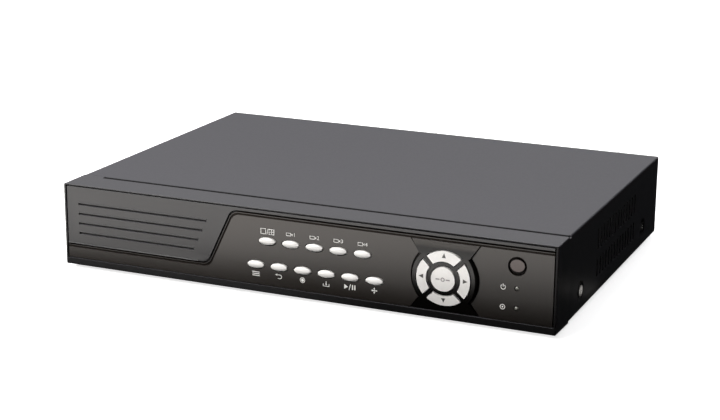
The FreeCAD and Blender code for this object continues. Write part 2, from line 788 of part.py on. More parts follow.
def make_base_chassis():
    low = (FLANGE_OUT, COVER_FRONT, "floor_level")
    floor = span(low, (f"case_width - {FLANGE_OUT}", REAR_INNER, FLOOR_TOP))
    front = span((FLANGE_OUT, "front_wall_y", "front_step"),
                 (f"case_width - {FLANGE_OUT}", "front_wall_y + sheet_gauge", "case_height - bezel_wall - 1"))
    tread = span((FLANGE_OUT, "front_wall_y", "front_step"),
                 (f"case_width - {FLANGE_OUT}", f"{COVER_FRONT} + sheet_gauge", "front_step + sheet_gauge"))
    riser = span((FLANGE_OUT, COVER_FRONT, "floor_level"),
                 (f"case_width - {FLANGE_OUT}", f"{COVER_FRONT} + sheet_gauge", "front_step + sheet_gauge"))
    rear = span((FLANGE_OUT, f"{REAR_INNER} - sheet_gauge", "floor_level"),
                (f"case_width - {FLANGE_OUT}", REAR_INNER, "rear_flange_height"))
    left = block((FLANGE_OUT, COVER_FRONT, "floor_level"),
                 ("sheet_gauge", f"{REAR_INNER} - ({COVER_FRONT})", "flange_height"))
    right = block((f"case_width - {FLANGE_OUT} - sheet_gauge", COVER_FRONT, "floor_level"),
                  ("sheet_gauge", f"{REAR_INNER} - ({COVER_FRONT})", "flange_height"))
    tools = [span(("window_left + 4", "front_wall_y - 1", "12"),
                  ("window_right - 60", "front_wall_y + 2", "44"))]
    for across, level in BEZEL_BOSSES:
        tools.append(rod((across, "front_wall_y - 1", level), "screw_shank + tiny_gap", "3"))
    for across in REAR_PANEL_SCREWS:
        tools.append(rod((across, f"{REAR_INNER} - 3", REAR_SCREW_LEVEL), "screw_shank", "6"))
    for place in SIDE_SCREWS:
        tools.append(rod(("-1", place, "dimple_level"), "screw_shank", "case_width + 2", "X"))
    for across, along in FOOT_PLACES + BRACKET_PLACES:
        tools.append(rod((across, along, "floor_level - 1"), "screw_shank", "3", "Z"))
    for index in range(int(number("vent_count"))):
        tools.append(block(("-1", f"vent_start + {index}*vent_pitch", "vent_low"),
                           ("case_width + 2", "vent_width", "vent_low_tall - 5.5")))
    name_part(cut(fuse(floor, front, tread, riser, rear, left, right), *tools), "base_chassis")


def make_rear_panel():
    panel = span((FLANGE_OUT, REAR_INNER, "floor_level + 0.2"),
                 (f"case_width - {FLANGE_OUT}", "rear_face_y", "case_height - sheet_gauge - 0.2"))
    start = f"{REAR_INNER} - 1"
    tools = []
    for index in range(int(number("coax_count"))):
        tools.append(rod((f"coax_start + {index}*coax_pitch", start, "coax_level"), "coax_barrel + 1.6", "4"))
    for across, level in audio_places():
        tools.append(rod((across, start, level), "audio_shell + 1.4", "4"))
    cutouts = (("vga_across", "vga_level", "19", "9.6"), ("usb_across", usb_level(), "13.8", "16.2"),
               ("lan_across", lan_level(), "16.6", "14"), ("dc_across", "dc_level", "9.6", "12.4"),
               ("terminal_across", "terminal_level", "20.6", "9"),
               ("rocker_across", "rocker_level", "rocker_wide", "rocker_tall"))
    for across, level, wide, tall in cutouts:
        tools.append(block((f"{across} - ({wide})/2", start, f"{level} - ({tall})/2"), (wide, "4", tall)))
    for side in (-1, 1):
        tools.append(rod((f"vga_across + ({side})*12.5", start, "vga_level"), "2.4", "4"))
    tools.append(rod(("fan_across", start, "fan_level"), "air_hole", "4"))
    for ring in (1, 2, 3):
        for index in range(6*ring):
            angle = 2*math.pi*index/(6*ring)
            tools.append(rod((f"fan_across + {ring}*air_ring*({math.cos(angle):.5f})", start,
                              f"fan_level + {ring}*air_ring*({math.sin(angle):.5f})"), "air_hole", "4"))
    for across, level in fan_screw_places():
        tools.append(rod((across, start, level), "screw_shank + 0.1", "4"))
    for across in REAR_PANEL_SCREWS:
        tools.append(rod((across, start, REAR_SCREW_LEVEL), "screw_shank + 0.1", "4"))
    for across in REAR_SCREWS:
        tools.append(rod((across, start, "case_height - lip_tall/2"), "screw_shank", "4"))
    name_part(cut(panel, *tools), "rear_panel")


def screw(base, along, head, head_tall, shank, length):
    """A pan-head screw: base is the middle of its head's face, and along is the way its shank points."""
    letter = along[-1]
    axis = "XYZ".index(letter)

    def corner(begin, reach):
        """The lowest point of a piece that begins that far along the screw."""
        place = list(base)
        if along.startswith("-"):
            place[axis] = f"{base[axis]} - ({begin}) - ({reach})"
        else:
            place[axis] = f"{base[axis]} + ({begin})"
        return place

    top = rod(corner("0", head_tall), head, head_tall, letter)
    stem = rod(corner(head_tall, length), shank, length, letter)
    slots = []
    for wide in {0, 1, 2} - {axis}:
        size = ["slot_wide"]*3
        size[axis] = "1 + slot_deep"
        size[wide] = f"0.9*({head})"
        low = corner("-1", size[axis])
        for side in {0, 1, 2} - {axis}:
            low[side] = f"{base[side]} - ({size[side]})/2"
        slots.append(block(low, size))
    return cut(fuse(top, stem), *slots)


def make_screws():
    side = f"({COVER_LEFT} + dimple_deep)"
    small = "screw_head - 0.3"
    cover = []
    for place in SIDE_SCREWS:
        for edge, along in ((f"{side} - cover_head_tall", "X"),
                            (f"case_width - {side} + cover_head_tall", "-X")):
            cover.append(screw((edge, place, "dimple_level"), along, "cover_head", "cover_head_tall",
                               "screw_shank", "2.5*sheet_gauge + 3"))
    for across in REAR_SCREWS:
        cover.append(screw((across, "case_depth + screw_head_tall", "case_height - lip_tall/2"), "-Y",
                           small, "screw_head_tall", "screw_shank", "5"))
    name_part(group(*cover), "cover_screws")
    wall = "front_wall_y + sheet_gauge + screw_head_tall"
    board = "key_board_front + board_thick + screw_head_tall"
    moulded = [screw((across, wall, level), "-Y", "screw_head", "screw_head_tall", "screw_shank", "10")
               for across, level in BEZEL_BOSSES]
    moulded += [screw((across, board, level), "-Y", "screw_head", "screw_head_tall", "screw_shank", "5")
                for across, level in KEY_BOARD_POSTS]
    name_part(group(*moulded), "tapping_screws")
    machine = [screw((across, "rear_face_y + screw_head_tall", REAR_SCREW_LEVEL), "-Y", small,
                     "screw_head_tall", "screw_shank", "5") for across in REAR_PANEL_SCREWS]
    machine += [screw((across, along, "main_level + board_thick + screw_head_tall"), "-Z", small,
                      "screw_head_tall", "screw_shank", "5") for across, along in BOARD_PLACES]
    machine += [screw((across, along, f"{FLOOR_TOP} + sheet_gauge + screw_head_tall"), "-Z", small,
                      "screw_head_tall", "screw_shank", "1.9") for across, along in BRACKET_PLACES]
    name_part(group(*machine), "machine_screws")
    feet = [screw((across, along, "1.2 - foot_height"), "Z", "screw_head", "screw_head_tall",
                  "screw_shank", "4.5") for across, along in FOOT_PLACES]
    name_part(group(*feet), "foot_screws")


def make_rubber_feet():
    feet = []
    for across, along in FOOT_PLACES:
        pad_body = taper((across, along, "-foot_height"), "foot_radius - 0.8", "foot_radius",
                         "foot_height + floor_level", "Z")
        well = rod((across, along, "-foot_height - 1"), "screw_head + 0.3", "2.2 + screw_head_tall", "Z")
        hole = rod((across, along, "-foot_height"), "screw_shank + tiny_gap", "9", "Z")
        feet.append(cut(pad_body, well, hole))
    name_part(group(*feet), "rubber_feet")


# Main board and rear sockets ------------------------------------------------------

BOARD_TOP = "(main_level + board_thick)"


def audio_places():
    return [(f"audio_start + {column}*audio_pitch", f"audio_level + {level}*audio_pitch")
            for column in (0, 1) for level in (0, 1)]


def usb_level():
    return f"{BOARD_TOP} + 7.9"


def lan_level():
    return f"{BOARD_TOP} + 6.8"


def make_main_board():
    board = span(("main_left", "main_front_y", "main_level"), ("main_right", "main_back_y", BOARD_TOP))
    holes = [rod((across, along, "main_level - 1"), "screw_shank + tiny_gap", "4", "Z")
             for across, along in BOARD_PLACES]
    name_part(cut(board, *holes), "main_board")
    posts = []
    for across, along in BOARD_PLACES:
        post = rod((across, along, FLOOR_TOP), "2.8", f"main_level - {FLOOR_TOP}", "Z")
        posts.append(cut(post, rod((across, along, FLOOR_TOP), "screw_shank", "8", "Z")))
    name_part(group(*posts), "board_standoffs")


# Main processor, two memories, four video decoders, a clock, a sounder and a header,
# each with its left and front edge, its width, depth and height.
PROCESSOR = ("82", "168", "31", "31", "2.6")
CHIPS = (PROCESSOR, ("40", "160", "14", "20", "1.2"), ("40", "186", "14", "20", "1.2"),
         ("160", "178", "14", "14", "1.4"), ("182", "178", "14", "14", "1.4"),
         ("204", "178", "14", "14", "1.4"), ("226", "178", "14", "14", "1.4"),
         ("130", "150", "8", "8", "1"), ("66", "146", "10", "8", "5"), ("190", "146", "30", "8", "8"))
CAPACITOR_PLACES = (("34", "218"), ("22", "196"), ("60", "214"), ("144", "214"), ("228", "152"),
                    ("240", "165"), ("120", "214"), ("136", "196"))


def make_board_chips():
    pieces = [block((across, along, BOARD_TOP), (wide, deep, tall))
              for across, along, wide, deep, tall in CHIPS]
    name_part(group(*pieces), "board_chips")


def make_heat_sink():
    low = (f"{PROCESSOR[0]} - 2.5", f"{PROCESSOR[1]} - 2.5", f"{BOARD_TOP} + {PROCESSOR[4]}")
    base = block(low, ("sink_side", "sink_side", "2.5"))
    pitch = "(sink_side - fin_thick)/(fin_count - 1)"
    fins = [block((f"{low[0]} + {index}*{pitch}", low[1], f"{low[2]} + 2"),
                  ("fin_thick", "sink_side", "12.5"))
            for index in range(int(number("fin_count")))]
    name_part(fuse(base, *fins), "heat_sink")


def make_capacitors():
    cans = []
    for across, along in CAPACITOR_PLACES:
        can = rod((across, along, BOARD_TOP), "can_radius", "can_tall", "Z")
        bead = doc.addObject("Part::Torus", "bead")
        bind(bead, {"Radius1": "can_radius + 0.25", "Radius2": "0.5"})
        put(bead, (across, along, f"{BOARD_TOP} + 2"))
        cans.append(cut(can, bead))
    name_part(group(*cans), "capacitors")


def make_coin_cell():
    cell = rod(("106", "148", f"{BOARD_TOP} + 1.2"), "10", "3.2", "Z")
    rim = rod(("106", "148", f"{BOARD_TOP}"), "9", "1.3", "Z")
    name_part(fuse(cell, rim), "coin_cell")


def make_coax_jacks():
    jacks = []
    liners = []
    for index in range(int(number("coax_count"))):
        across = f"coax_start + {index}*coax_pitch"
        base = span((f"{across} - 7", "main_back_y - 14", BOARD_TOP),
                    (f"{across} + 7", f"{REAR_INNER} - 0.1", "coax_level + 7"))
        thread = rod((across, "main_back_y - 2", "coax_level"), "coax_barrel + 1.5",
                     "rear_face_y - main_back_y + 3.4")
        nut = rod((across, "rear_face_y", "coax_level"), "coax_barrel + 2.9", "1.2")
        barrel = rod((across, "rear_face_y", "coax_level"), "coax_barrel",
                     "case_depth + jack_reach - rear_face_y")
        lugs = rod((across, "case_depth + jack_reach - 4", "coax_level - coax_barrel - 0.7"), "1",
                   "2*coax_barrel + 1.4", "Z")
        bore = rod((across, "case_depth + jack_reach - 9", "coax_level"), "coax_barrel - 0.7", "10")
        jacks.append(cut(fuse(base, thread, nut, barrel, lugs), bore))
        liner = rod((across, "case_depth + jack_reach - 9", "coax_level"), "coax_barrel - 2.3", "6.5")
        disc = rod((across, "case_depth + jack_reach - 9", "coax_level"), "coax_barrel - 0.7", "1.4")
        hole = rod((across, "case_depth + jack_reach - 8", "coax_level"), "0.7", "10")
        liners.append(cut(fuse(liner, disc), hole))
    name_part(group(*jacks), "coax_jacks")
    name_part(group(*liners), "coax_liners")


def make_audio_jacks():
    jacks = []
    for column in (0, 1):
        across = f"audio_start + {column}*audio_pitch"
        pieces = [span((f"{across} - 5.5", "main_back_y - 12", BOARD_TOP),
                       (f"{across} + 5.5", f"{REAR_INNER} - 0.1", "audio_level + audio_pitch + 6"))]
        bores = []
        for step in (0, 1):
            level = f"audio_level + {step}*audio_pitch"
            pieces.append(rod((across, "main_back_y", level), "audio_shell + 1.3",
                              "rear_face_y - main_back_y + 1.6"))
            pieces.append(rod((across, "rear_face_y", level), "audio_shell", "9.4"))
            bores.append(cut(rod((across, "rear_face_y + 1", level), "audio_shell - 0.5", "12"),
                             rod((across, "rear_face_y", level), "2.7", "9")))
            bores.append(rod((across, "rear_face_y + 1", level), "1.65", "12"))
        jacks.append(cut(fuse(*pieces), *bores))
    name_part(group(*jacks), "audio_jacks")


def monitor_shape(inset, start_y, length):
    """The D-shaped bar of the monitor socket, drawn in by an amount all round."""
    top = f"vga_level + 4.2 - {inset}"
    bottom = f"vga_level - 4.2 + {inset}"
    return prism([(f"vga_across - 8.9 + {inset}", top), (f"vga_across - 7.6 + {inset}", bottom),
                  (f"vga_across + 7.6 - {inset}", bottom), (f"vga_across + 8.9 - {inset}", top)],
                 start_y, length)


def make_vga_port():
    case = span(("vga_across - 15.5", "main_back_y - 9", BOARD_TOP),
                ("vga_across + 15.5", f"{REAR_INNER} - 0.1", "vga_level + 6.2"))
    shell = monitor_shape("0", f"{REAR_INNER} - 1", "7")
    hollow = monitor_shape("0.5", "rear_face_y + 0.5", "9")
    core = monitor_shape("1", "rear_face_y", "4")
    holes = []
    for line in (-1, 0, 1):
        for index in range(5):
            holes.append(rod((f"vga_across + {2.4*(index - 2) + 0.4*line}", "rear_face_y + 1",
                              f"vga_level + {2*line}"), "0.5", "5"))
    posts = []
    for side in (-1, 1):
        post = rod((f"vga_across + ({side})*12.5", f"{REAR_INNER} - 1", "vga_level"), "2.3", "5.5")
        bore = rod((f"vga_across + ({side})*12.5", REAR_INNER, "vga_level"), "1.2", "9")
        posts.append(cut(post, bore))
    name_part(fuse(case, cut(shell, hollow), cut(core, *holes), *posts), "monitor_port")


def make_network_port():
    low = ("lan_across - 8", "rear_face_y + 1 - 21", BOARD_TOP)
    case = span(low, ("lan_across + 8", "rear_face_y + 1", f"{BOARD_TOP} + 13.4"))
    mouth = block(("lan_across - 5.9", "rear_face_y + 1 - 12", f"{BOARD_TOP} + 3.6"), ("11.8", "14", "7.6"))
    key_way = block(("lan_across - 3.2", "rear_face_y + 1 - 12", f"{BOARD_TOP} + 1.8"), ("6.4", "14", "2"))
    name_part(cut(case, mouth, key_way), "network_port")


def make_usb_ports():
    case = span(("usb_across - 6.6", "rear_face_y + 1 - 17.5", BOARD_TOP),
                ("usb_across + 6.6", "rear_face_y + 1", f"{BOARD_TOP} + 15.8"))
    mouths = []
    tongues = []
    for low in (1.4, 9.4):
        mouths.append(block(("usb_across - 6.2", "rear_face_y - 11", f"{BOARD_TOP} + {low}"),
                            ("12.4", "14", "5.1")))
        tongues.append(block(("usb_across - 5.4", "rear_face_y - 12", f"{BOARD_TOP} + {low} + 2.9"),
                             ("10.8", "12", "1.8")))
    name_part(fuse(cut(case, *mouths), *tongues), "usb_ports")


def make_dc_socket():
    case = span(("dc_across - 4.6", "rear_face_y + 1.4 - 14.4", BOARD_TOP),
                ("dc_across + 4.6", "rear_face_y + 1.4", "dc_level + 5.4"))
    bore = cut(rod(("dc_across", "rear_face_y + 1.4 - 10", "dc_level"), "3.15", "12"),
               rod(("dc_across", "rear_face_y + 1.4 - 11", "dc_level"), "1", "10"))
    name_part(cut(case, bore), "power_socket")


def make_terminal_block():
    case = span(("terminal_across - 10", "main_back_y - 19", "terminal_level - 4.2"),
                ("terminal_across + 10", "rear_face_y + 6", "terminal_level + 4.2"))
    tools = []
    for index in range(4):
        across = f"terminal_across + {5*(index - 1.5)}"
        tools.append(block((f"{across} - 1.6", "rear_face_y + 1", "terminal_level - 3"), ("3.2", "6", "3.2")))
        tools.append(rod((across, "rear_face_y + 3", "terminal_level + 2"), "1.3", "4"))
    legs = [block((f"terminal_across + {5*(index - 1.5)} - 0.5", "main_back_y - 18", BOARD_TOP),
                  ("1", "1", f"terminal_level - 3 - {BOARD_TOP}")) for index in range(4)]
    name_part(fuse(cut(case, *tools), *legs), "terminal_block")


# Power rocker ----------------------------------------------------------------------


def make_power_rocker():
    wide = "rocker_wide"
    tall = "rocker_tall"
    low = (f"rocker_across - {wide}/2 + 0.1", f"{REAR_INNER} - 14", f"rocker_level - {tall}/2 + 0.1")
    case = span(low, (f"rocker_across + {wide}/2 - 0.1", "rear_face_y", f"rocker_level + {tall}/2 - 0.1"))
    rim = span((f"rocker_across - {wide}/2 - 1", "rear_face_y", f"rocker_level - {tall}/2 - 1"),
               (f"rocker_across + {wide}/2 + 1", "rear_face_y + 1.8", f"rocker_level + {tall}/2 + 1"))
    well = span((f"rocker_across - {wide}/2 + 1.6", "rear_face_y - 10", f"rocker_level - {tall}/2 + 1.6"),
                (f"rocker_across + {wide}/2 - 1.6", "rear_face_y + 3", f"rocker_level + {tall}/2 - 1.6"))
    pivot_y = "rear_face_y - 2.5"
    pin_hole = rod((f"rocker_across - {wide}/2 + 0.6", pivot_y, "rocker_level"), "1.05", f"{wide} - 1.2", "X")
    tabs = [block((f"rocker_across + {shift} - 0.4", f"{REAR_INNER} - 20", f"rocker_level + {rise} - 2.4"),
                  ("0.8", "7", "4.8")) for shift, rise in ((-2.4, 0), (2.4, 0))]
    name_part(fuse(cut(fuse(case, rim), well, pin_hole), *tabs), "rocker_housing")
    half = f"({tall}/2 - 2.5)"
    slab = doc.addObject("PartDesign::Body", "rocker_slab")
    profile = outline(slab, "YZ_Plane", f"rocker_across - {wide}/2 + 1.9", [
        (f"{pivot_y} + 0.6", f"rocker_level - {half}"),
        (f"{pivot_y} + 5.6", f"rocker_level - {half} + 0.5"),
        (f"{pivot_y} + 3.4", "rocker_level"),
        (f"{pivot_y} + 3.3", f"rocker_level + {half} - 0.2"),
        (f"{pivot_y} - 1.6", f"rocker_level + {half} - 1.4"),
        (f"{pivot_y} - 2.4", "rocker_level + 1.6"),
        (f"{pivot_y} - 2.4", "rocker_level - 1.6")])
    pad(slab, profile, f"{wide} - 3.8")
    pin = rod((f"rocker_across - {wide}/2 + 0.7", pivot_y, "rocker_level"), "1", f"{wide} - 1.4", "X")
    name_part(fuse(slab, pin), "power_rocker")


# Fan -----------------------------------------------------------------------------------

FAN_FRONT = f"({REAR_INNER} - fan_thick)"


def fan_screw_places():
    return [(f"fan_across + ({across})*fan_screw_pitch/2", f"fan_level + ({up})*fan_screw_pitch/2")
            for across in (-1, 1) for up in (-1, 1)]


def make_fan():
    square = span(("fan_across - fan_side/2", FAN_FRONT, "fan_level - fan_side/2"),
                  ("fan_across + fan_side/2", REAR_INNER, "fan_level + fan_side/2"))
    square = rounded(square, "3", lambda edge: edge.BoundBox.YLength > 5)
    bore = rod(("fan_across", f"{FAN_FRONT} - 1", "fan_level"), "fan_bore", "fan_thick + 2")
    holes = [rod((across, f"{FAN_FRONT} - 1", level), "screw_shank", "fan_thick + 2")
             for across, level in fan_screw_places()]
    hub = rod(("fan_across", FAN_FRONT, "fan_level"), "fan_hub", "1.6")
    bars = [block(("fan_across - fan_bore - 0.2", FAN_FRONT, "fan_level - 1"),
                  ("2*fan_bore + 0.4", "1.6", "2")),
            block(("fan_across - 1", FAN_FRONT, "fan_level - fan_bore - 0.2"),
                  ("2", "1.6", "2*fan_bore + 0.4"))]
    bearing = rod(("fan_across", f"{FAN_FRONT} - 1", "fan_level"), "1.55", "fan_thick")
    frame = cut(fuse(cut(square, bore, *holes), hub, *bars), bearing)
    name_part(frame, "fan_frame")
    cap = rod(("fan_across", f"{FAN_FRONT} + 2.1", "fan_level"), "fan_hub", "fan_thick - 3")
    shaft = rod(("fan_across", f"{FAN_FRONT} + 0.1", "fan_level"), "1.5", "4")
    sweep = cut(rod(("fan_across", f"{FAN_FRONT} + 2.3", "fan_level"), "fan_blade_reach", "fan_thick - 3.4"),
                rod(("fan_across", f"{FAN_FRONT} + 2", "fan_level"), "fan_hub - 1", "fan_thick"))
    blades = []
    count = int(number("fan_blade_count"))
    for index in range(count):
        blade = doc.addObject("Part::Box", "blade")
        bind(blade, {"Length": "fan_blade_reach", "Width": "1.1", "Height": "13"})
        angle = 360.0*index/count
        turn = FreeCAD.Rotation(FreeCAD.Vector(0, 1, 0), -angle)*FreeCAD.Rotation(FreeCAD.Vector(1, 0, 0), 48)
        corner = turn.multVec(FreeCAD.Vector(3, -0.55, -6.5))
        put(blade, (f"fan_across + ({corner.x:.5f})", f"{FAN_FRONT} + 5.6 + ({corner.y:.5f})",
                    f"fan_level + ({corner.z:.5f})"), turn)
        blades.append(blade)
    name_part(fuse(cap, shaft, common(fuse(*blades), sweep)), "fan_rotor")
    screws = [screw((across, "rear_face_y + screw_head_tall", level), "-Y", "screw_head - 0.3",
                    "screw_head_tall",
                    "screw_shank", "9") for across, level in fan_screw_places()]
    name_part(group(*screws), "fan_screws")


# Disk drive -----------------------------------------------------------------------------

DRIVE_BACK = "(drive_front_y + drive_wide)"
DRIVE_RIGHT = "(drive_left + drive_long)"
CAST_LOW = "(drive_low + 2)"
LID_LOW = "(drive_low + drive_tall - 1.5)"
SPINDLE = ("(drive_left + platter_inset)", "(drive_front_y + drive_wide/2)")
PIVOT = ("(drive_left + arm_pivot_inset)", "(drive_front_y + arm_pivot_rise)")


def make_drive():
    tub = span(("drive_left", "drive_front_y", CAST_LOW), (DRIVE_RIGHT, DRIVE_BACK, LID_LOW))
    rails = [span(("drive_left", low, "drive_low"), (DRIVE_RIGHT, high, f"{CAST_LOW} + 1"))
             for low, high in (("drive_front_y", "drive_front_y + 5"), (f"{DRIVE_BACK} - 5", DRIVE_BACK))]
    tub = fuse(tub, *rails)
    floor = f"{CAST_LOW} + 5"
    well = rod((SPINDLE[0], SPINDLE[1], floor), "platter_radius + 1.4", "40", "Z")
    bay = span((f"{SPINDLE[0]} + 38", "drive_front_y + 6", floor),
               (f"{DRIVE_RIGHT} - 6", f"{DRIVE_BACK} - 6", "60"))
    spindle_hole = rod((SPINDLE[0], SPINDLE[1], f"{CAST_LOW} + 2"), "3.05", "9", "Z")
    pivot_hole = rod((PIVOT[0], PIVOT[1], f"{CAST_LOW} + 2"), "2.05", "9", "Z")
    name_part(cut(tub, well, bay, spindle_hole, pivot_hole), "drive_case")
    lid = span(("drive_left + 1", "drive_front_y + 1", LID_LOW), (f"{DRIVE_RIGHT} - 1", f"{DRIVE_BACK} - 1",
               "drive_low + drive_tall"))
    name_part(rounded(lid, "4", lambda edge: edge.BoundBox.ZLength > 1), "drive_lid")
    hub = rod((SPINDLE[0], SPINDLE[1], f"{floor} + 0.5"), "15", "15", "Z")
    stub = rod((SPINDLE[0], SPINDLE[1], f"{CAST_LOW} + 2.3"), "3", "6", "Z")
    discs = [rod((SPINDLE[0], SPINDLE[1], f"{floor} + {rise}"), "platter_radius", "1.3", "Z")
             for rise in (3, 9.5)]
    name_part(fuse(hub, stub, *discs), "drive_platters")
    bearing = rod((PIVOT[0], PIVOT[1], f"{floor} + 0.4"), "6", "14.6", "Z")
    pin = rod((PIVOT[0], PIVOT[1], f"{CAST_LOW} + 2.3"), "2", "6", "Z")
    arms = []
    for rise in (5.6, 12.2):
        arm = doc.addObject("Part::Wedge", "arm")
        bind(arm, {"Xmin": "-5", "Xmax": "5", "X2min": "-1.6", "X2max": "1.6", "Ymin": "0",
                   "Ymax": "arm_reach", "Zmin": "0", "Zmax": "1.4", "Z2min": "0", "Z2max": "1.4"})
        turn = FreeCAD.Rotation(FreeCAD.Vector(0, 0, 1), number("arm_rest_angle") - 90)
        put(arm, (PIVOT[0], PIVOT[1], f"{floor} + {rise}"), turn)
        arms.append(arm)
    coil = doc.addObject("Part::Wedge", "coil")
    bind(coil, {"Xmin": "-3", "Xmax": "3", "X2min": "-9", "X2max": "9", "Ymin": "0", "Ymax": "20",
                "Zmin": "0", "Zmax": "4", "Z2min": "0", "Z2max": "4"})
    turn = FreeCAD.Rotation(FreeCAD.Vector(0, 0, 1), number("arm_rest_angle") + 90)
    put(coil, (PIVOT[0], PIVOT[1], f"{floor} + 5"), turn)
    name_part(fuse(bearing, pin, coil, *arms), "drive_arm")
    board = span(("drive_left + 50", "drive_front_y + 7", "drive_low + 0.3"),
                 (f"{DRIVE_RIGHT} - 2", f"{DRIVE_BACK} - 7", f"{CAST_LOW}"))
    name_part(group(board), "drive_board")
    deck = span(("drive_left - 2", "drive_front_y + 2", "drive_low - sheet_gauge"),
                (f"{DRIVE_RIGHT} + 2", f"{DRIVE_BACK} - 2", "drive_low"))
    opening = span(("drive_left + 30", "drive_front_y + 26", "drive_low - 3"),
                   (f"{DRIVE_RIGHT} - 30", f"{DRIVE_BACK} - 26", "drive_low + 2"))
    back = f"{DRIVE_BACK} - 2"
    legs = [span((edge, "drive_front_y + 2", FLOOR_TOP), (f"{edge} + sheet_gauge", back, "drive_low"))
            for edge in ("drive_left - 2", f"{DRIVE_RIGHT} + 1")]
    tabs = [span((low, "drive_front_y + 2", FLOOR_TOP), (high, back, f"{FLOOR_TOP} + sheet_gauge"))
            for low, high in (("drive_left - 13", "drive_left - 1"),
                              (f"{DRIVE_RIGHT} + 1", f"{DRIVE_RIGHT} + 13"))]
    holes = [rod((across, along, "0"), "screw_shank", "6", "Z") for across, along in BRACKET_PLACES]
    name_part(cut(fuse(deck, *legs, *tabs), opening, *holes), "drive_bracket")


# Internal cables --------------------------------------------------------------------------


def strap(points, broad, width, thick, bend):
    """A flat cable along straight runs joined by tangent arcs; its breadth lies along one axis."""
    corners = [FreeCAD.Vector(*[number(text) for text in point]) for point in points]
    edges = []
    start = corners[0]
    for before, here, after in zip(corners, corners[1:], corners[2:]):
        into = (here - before).normalize()
        out = (after - here).normalize()
        half = into.getAngle(out)/2
        setback = bend*math.tan(half)
        first = here - into*setback
        last = here + out*setback
        bisector = (out - into).normalize()
        centre = here + bisector*(bend/math.cos(half))
        edges.append(Part.LineSegment(start, first).toShape())
        edges.append(Part.Arc(first, centre - bisector*bend, last).toShape())
        start = last
    edges.append(Part.LineSegment(start, corners[-1]).toShape())
    side = broad*(width/2)
    lift = broad.cross((corners[1] - corners[0]).normalize())*(thick/2)
    first = corners[0]
    section = Part.makePolygon([first - side - lift, first + side - lift, first + side + lift,
                                first - side + lift, first - side - lift])
    item = doc.addObject("Part::Feature", "strap")
    item.Shape = Part.Wire(edges).makePipeShell([section], True, False)
    return item


def make_cables():
    across = "162"
    header_top = f"{BOARD_TOP} + 8"
    ribbon = strap([(across, "key_board_front + board_thick + 5", "23"), (across, "45", "23"),
                    (across, "75", "30"), (across, "150", "30"), (across, "150", header_top)],
                   FreeCAD.Vector(1, 0, 0), 20, 1, 5)
    plug = span((f"{across} - 11", "147", BOARD_TOP), (f"{across} + 11", "153", header_top))
    name_part(fuse(ribbon, plug), "key_ribbon")
    level = "drive_low + 7"
    start = f"{DRIVE_BACK} - 22"
    turn = f"{DRIVE_RIGHT} + 13"
    lead = strap([(f"{DRIVE_RIGHT} + 6", start, level), (turn, start, level),
                  (turn, "main_front_y + 13", level), ("main_right - 2", "main_front_y + 13", level)],
                 FreeCAD.Vector(0, 0, 1), 8, 1.2, 5)
    plugs = [span((DRIVE_RIGHT, f"{start} - 2.5", f"{level} - 5"),
                  (f"{DRIVE_RIGHT} + 6", f"{start} + 2.5", f"{level} + 5")),
             span(("main_right - 14", "main_front_y + 10", BOARD_TOP),
                  ("main_right - 2", "main_front_y + 16", f"{level} + 5"))]
    name_part(fuse(lead, *plugs), "drive_cable")


# Build ---------------------------------------------------------------------------------------

make_front_bezel()
make_grille_plate()
make_control_plate()
make_pad_boss()
make_navigation_keys()
make_oval_buttons()
make_remote_window()
make_status_lamps()
make_key_board()
make_key_switches()
make_remote_receiver()
make_top_cover()
make_base_chassis()
make_rear_panel()
make_screws()
make_rubber_feet()
make_main_board()
make_board_chips()
make_heat_sink()
make_capacitors()
make_coin_cell()
make_coax_jacks()
make_audio_jacks()
make_vga_port()
make_network_port()
make_usb_ports()
make_dc_socket()
make_terminal_block()
make_power_rocker()
make_fan()
make_drive()
make_cables()
doc.recompute()

faults = [f"{item.Name}: {item.getStatusString()}" for item in doc.Objects
          if "Invalid" in item.State or "Error" in item.State]
faults += [f"{item.Label} has no valid shape" for item in SUB_PARTS
           if item.Shape.isNull() or not item.Shape.isValid()]
if faults:
    raise RuntimeError("; ".join(faults))

os.makedirs("parts", exist_ok=True)
for item in SUB_PARTS:
    item.Shape.exportStep(f"parts/{item.Label}.step")
    box = item.Shape.BoundBox
    print(f"{item.Label:18s} solids {len(item.Shape.Solids):2d}  volume {item.Shape.Volume:10.1f}  "
          f"x {box.XMin:7.1f} {box.XMax:7.1f}  y {box.YMin:7.1f} {box.YMax:7.1f}  "
          f"z {box.ZMin:6.1f} {box.ZMax:6.1f}")
print(len(SUB_PARTS), "sub-parts")
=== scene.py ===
import json
import math

import bmesh
import bpy
from mathutils import Matrix, Vector
from mathutils.bvhtree import BVHTree


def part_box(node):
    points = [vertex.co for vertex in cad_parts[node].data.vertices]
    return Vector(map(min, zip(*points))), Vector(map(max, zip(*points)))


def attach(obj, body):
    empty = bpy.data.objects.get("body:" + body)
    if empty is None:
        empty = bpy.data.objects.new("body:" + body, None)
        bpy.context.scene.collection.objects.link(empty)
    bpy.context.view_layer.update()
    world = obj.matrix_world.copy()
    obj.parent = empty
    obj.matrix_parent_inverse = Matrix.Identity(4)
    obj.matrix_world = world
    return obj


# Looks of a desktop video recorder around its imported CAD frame. Lengths in metres unless a name says mm.

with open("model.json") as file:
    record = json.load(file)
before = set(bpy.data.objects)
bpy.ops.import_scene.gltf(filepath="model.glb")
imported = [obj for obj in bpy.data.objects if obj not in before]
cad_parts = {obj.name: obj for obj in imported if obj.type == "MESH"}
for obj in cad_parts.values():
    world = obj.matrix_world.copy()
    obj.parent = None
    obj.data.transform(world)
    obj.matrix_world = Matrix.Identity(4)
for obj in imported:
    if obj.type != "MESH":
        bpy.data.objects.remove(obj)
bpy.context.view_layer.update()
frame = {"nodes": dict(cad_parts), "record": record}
NODES = frame["nodes"]
MM = 0.001

